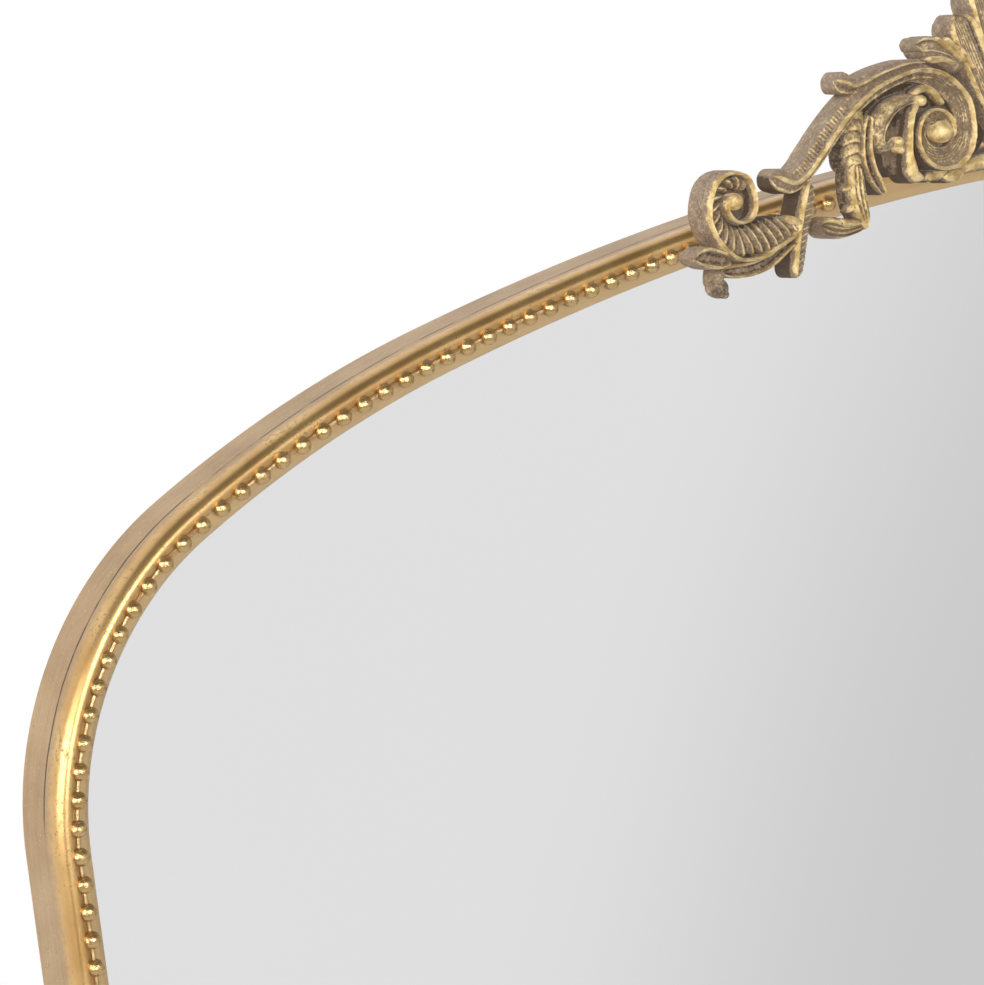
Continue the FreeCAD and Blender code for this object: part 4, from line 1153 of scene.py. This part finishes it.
crest_left = left_crest()
crest_right = mirror_of(crest_left, "crest_right")
crest = united([crest_left, crest_right, petal(MIDDLE_PETAL, MIDDLE_HEIGHT)])
crest.name = "crest_casting"
smooth_by_angle(crest, CREST_SMOOTH_DEGREES)
dress(crest, "antique_resin", "frame", "crest")
# The glass shows nothing of the crest, as in the photo.
crest.visible_glossy = False


# Nodes that keep their own shape

for node, slot in (
        ("mirror_glass", "silvered_glass"), ("backing_board", "hardboard"),
        ("crest_screws", "steel"), ("retainer_clips", "steel"), ("clip_screws", "steel"),
        ("hanger_screws", "steel"), ("hanger_strap_left", "brass"), ("hanger_strap_right", "brass"),
        ("hanger_ring_left", "brass"), ("hanger_ring_right", "brass"), ("wall_bumpers", "rubber")):
    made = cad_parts[node]
    made.data.materials.clear()
    made.data.materials.append(FINISHES[slot])


# Camera, light and floor

CAMERA_PLACE = (-1.03692, -1.18111, 0.35426)
CAMERA_TURN = (81.0403, 6.5809, -34.7923)
CAMERA_LENS = 144.328
SENSOR_WIDTH = 36
NEAREST_SEEN = 0.05
FARTHEST_SEEN = 50

camera = bpy.data.objects.new("camera", bpy.data.cameras.new("camera"))
camera.location = CAMERA_PLACE
camera.rotation_euler = [math.radians(angle) for angle in CAMERA_TURN]
camera.data.lens = CAMERA_LENS
camera.data.sensor_width = SENSOR_WIDTH
camera.data.clip_start = NEAREST_SEEN
camera.data.clip_end = FARTHEST_SEEN
scene.collection.objects.link(camera)
scene.camera = camera

FLOOR_Z = -1.5
FLOOR_WIDTH = 6
deselect()
bpy.ops.mesh.primitive_plane_add(size=FLOOR_WIDTH, location=(0, 0, FLOOR_Z))
floor = bpy.context.object
floor.name = "floor"


def pale_floor(finish):
    cloudy = finish.noise(2, 2)
    return {
        "Base Color": finish.blend(cloudy, colour(0.80, 0.80, 0.80), colour(0.84, 0.84, 0.84)),
        "Roughness": 0.85,
    }


floor.data.materials.append(new_finish("pale_floor", pale_floor))

world = bpy.data.worlds.new("studio")
scene.world = world
world.use_nodes = True
studio = Finish(world.node_tree)
ray = "ShaderNodeLightPath"
seen = studio.node(ray, output="Is Camera Ray")
mirrored_ray = studio.node(ray, output="Is Glossy Ray")
heading = studio.node("ShaderNodeTexCoord", output="Generated")


def towards(x, y, z):
    """How far the view turns to a direction, from -1 behind to 1 straight on."""
    return studio.node("ShaderNodeVectorMath", {"operation": "DOT_PRODUCT"}, {
        0: heading, 1: Vector((x, y, z)).normalized()}, "Value")


level = studio.node("ShaderNodeSeparateXYZ", inputs={"Vector": heading}, output="Z")
high = studio.rise(level, 0.2, 0.5)
low = studio.rise(level, -0.3, -0.18, 1.0, 0.0)
front = studio.blend(high, colour(0.55, 0.54, 0.52), colour(0.17, 0.165, 0.16))
room = studio.blend(low, front, colour(0.28, 0.27, 0.26))
behind = studio.blend(studio.rise(towards(0, 1, 0), 0.05, 0.5), room, colour(1, 1, 1))
soft_box = (studio.rise(towards(-0.5, -0.86, 0.02), 0.68, 0.85) * studio.rise(level, -0.06, 0.05)
            * studio.rise(level, 0.28, 0.48, 1.0, 0.0))
left_box = studio.rise(towards(-1, -0.1, 0.1), 0.88, 0.95) * studio.rise(level, -0.12, 0.06)
lit = studio.blend(left_box, studio.blend(soft_box, behind, colour(9.5, 9.3, 8.9)), colour(5, 4.9, 4.7))
dark_middle = studio.rise(towards(-0.62, -0.78, 0.12), 0.95, 0.985)
card = studio.rise(towards(0.52, -0.84, -0.12), 0.90, 0.95)
grey = studio.blend(studio.rise(towards(0.9, -0.1, -0.42), 0.665, 0.745), colour(0.812, 0.812, 0.812),
                    colour(0.648, 0.648, 0.648))
reflected = studio.blend(card, studio.blend(dark_middle, lit, colour(0.12, 0.11, 0.1)), grey)
soft = studio.blend(mirrored_ray, colour(0.62, 0.62, 0.62), reflected)
shown = studio.blend(seen, soft, colour(1, 1, 1))
studio.feed(world.node_tree.nodes["Background"].inputs["Color"], shown)

PLAIN_LIGHT = (1, 1, 1)
COOL_LIGHT = (0.82, 0.91, 1)
LAMP_AIM = Vector((-0.2, 0, 0.1))
# Lamps: name, place, width, power, tint. What the gilding mirrors are the studio's panels, not the lamps.
LAMPS = (
    ("key_lamp", (-2.1, -1.7, 1.15), 1.2, 28, PLAIN_LIGHT),
    ("right_lamp", (2.2, -0.5, 0.4), 1.0, 14, PLAIN_LIGHT),
    ("shoulder_lamp", (-1.9, 0.3, 1.7), 1.0, 14, COOL_LIGHT),
)
for name, place, width, power, tint in LAMPS:
    lamp = bpy.data.objects.new(name, bpy.data.lights.new(name, "AREA"))
    lamp.data.color = tint
    lamp.data.size = width
    lamp.data.energy = power
    lamp.location = place
    lamp.visible_glossy = False
    lamp.rotation_euler = (LAMP_AIM - Vector(place)).to_track_quat("-Z", "Y").to_euler()
    scene.collection.objects.link(lamp)
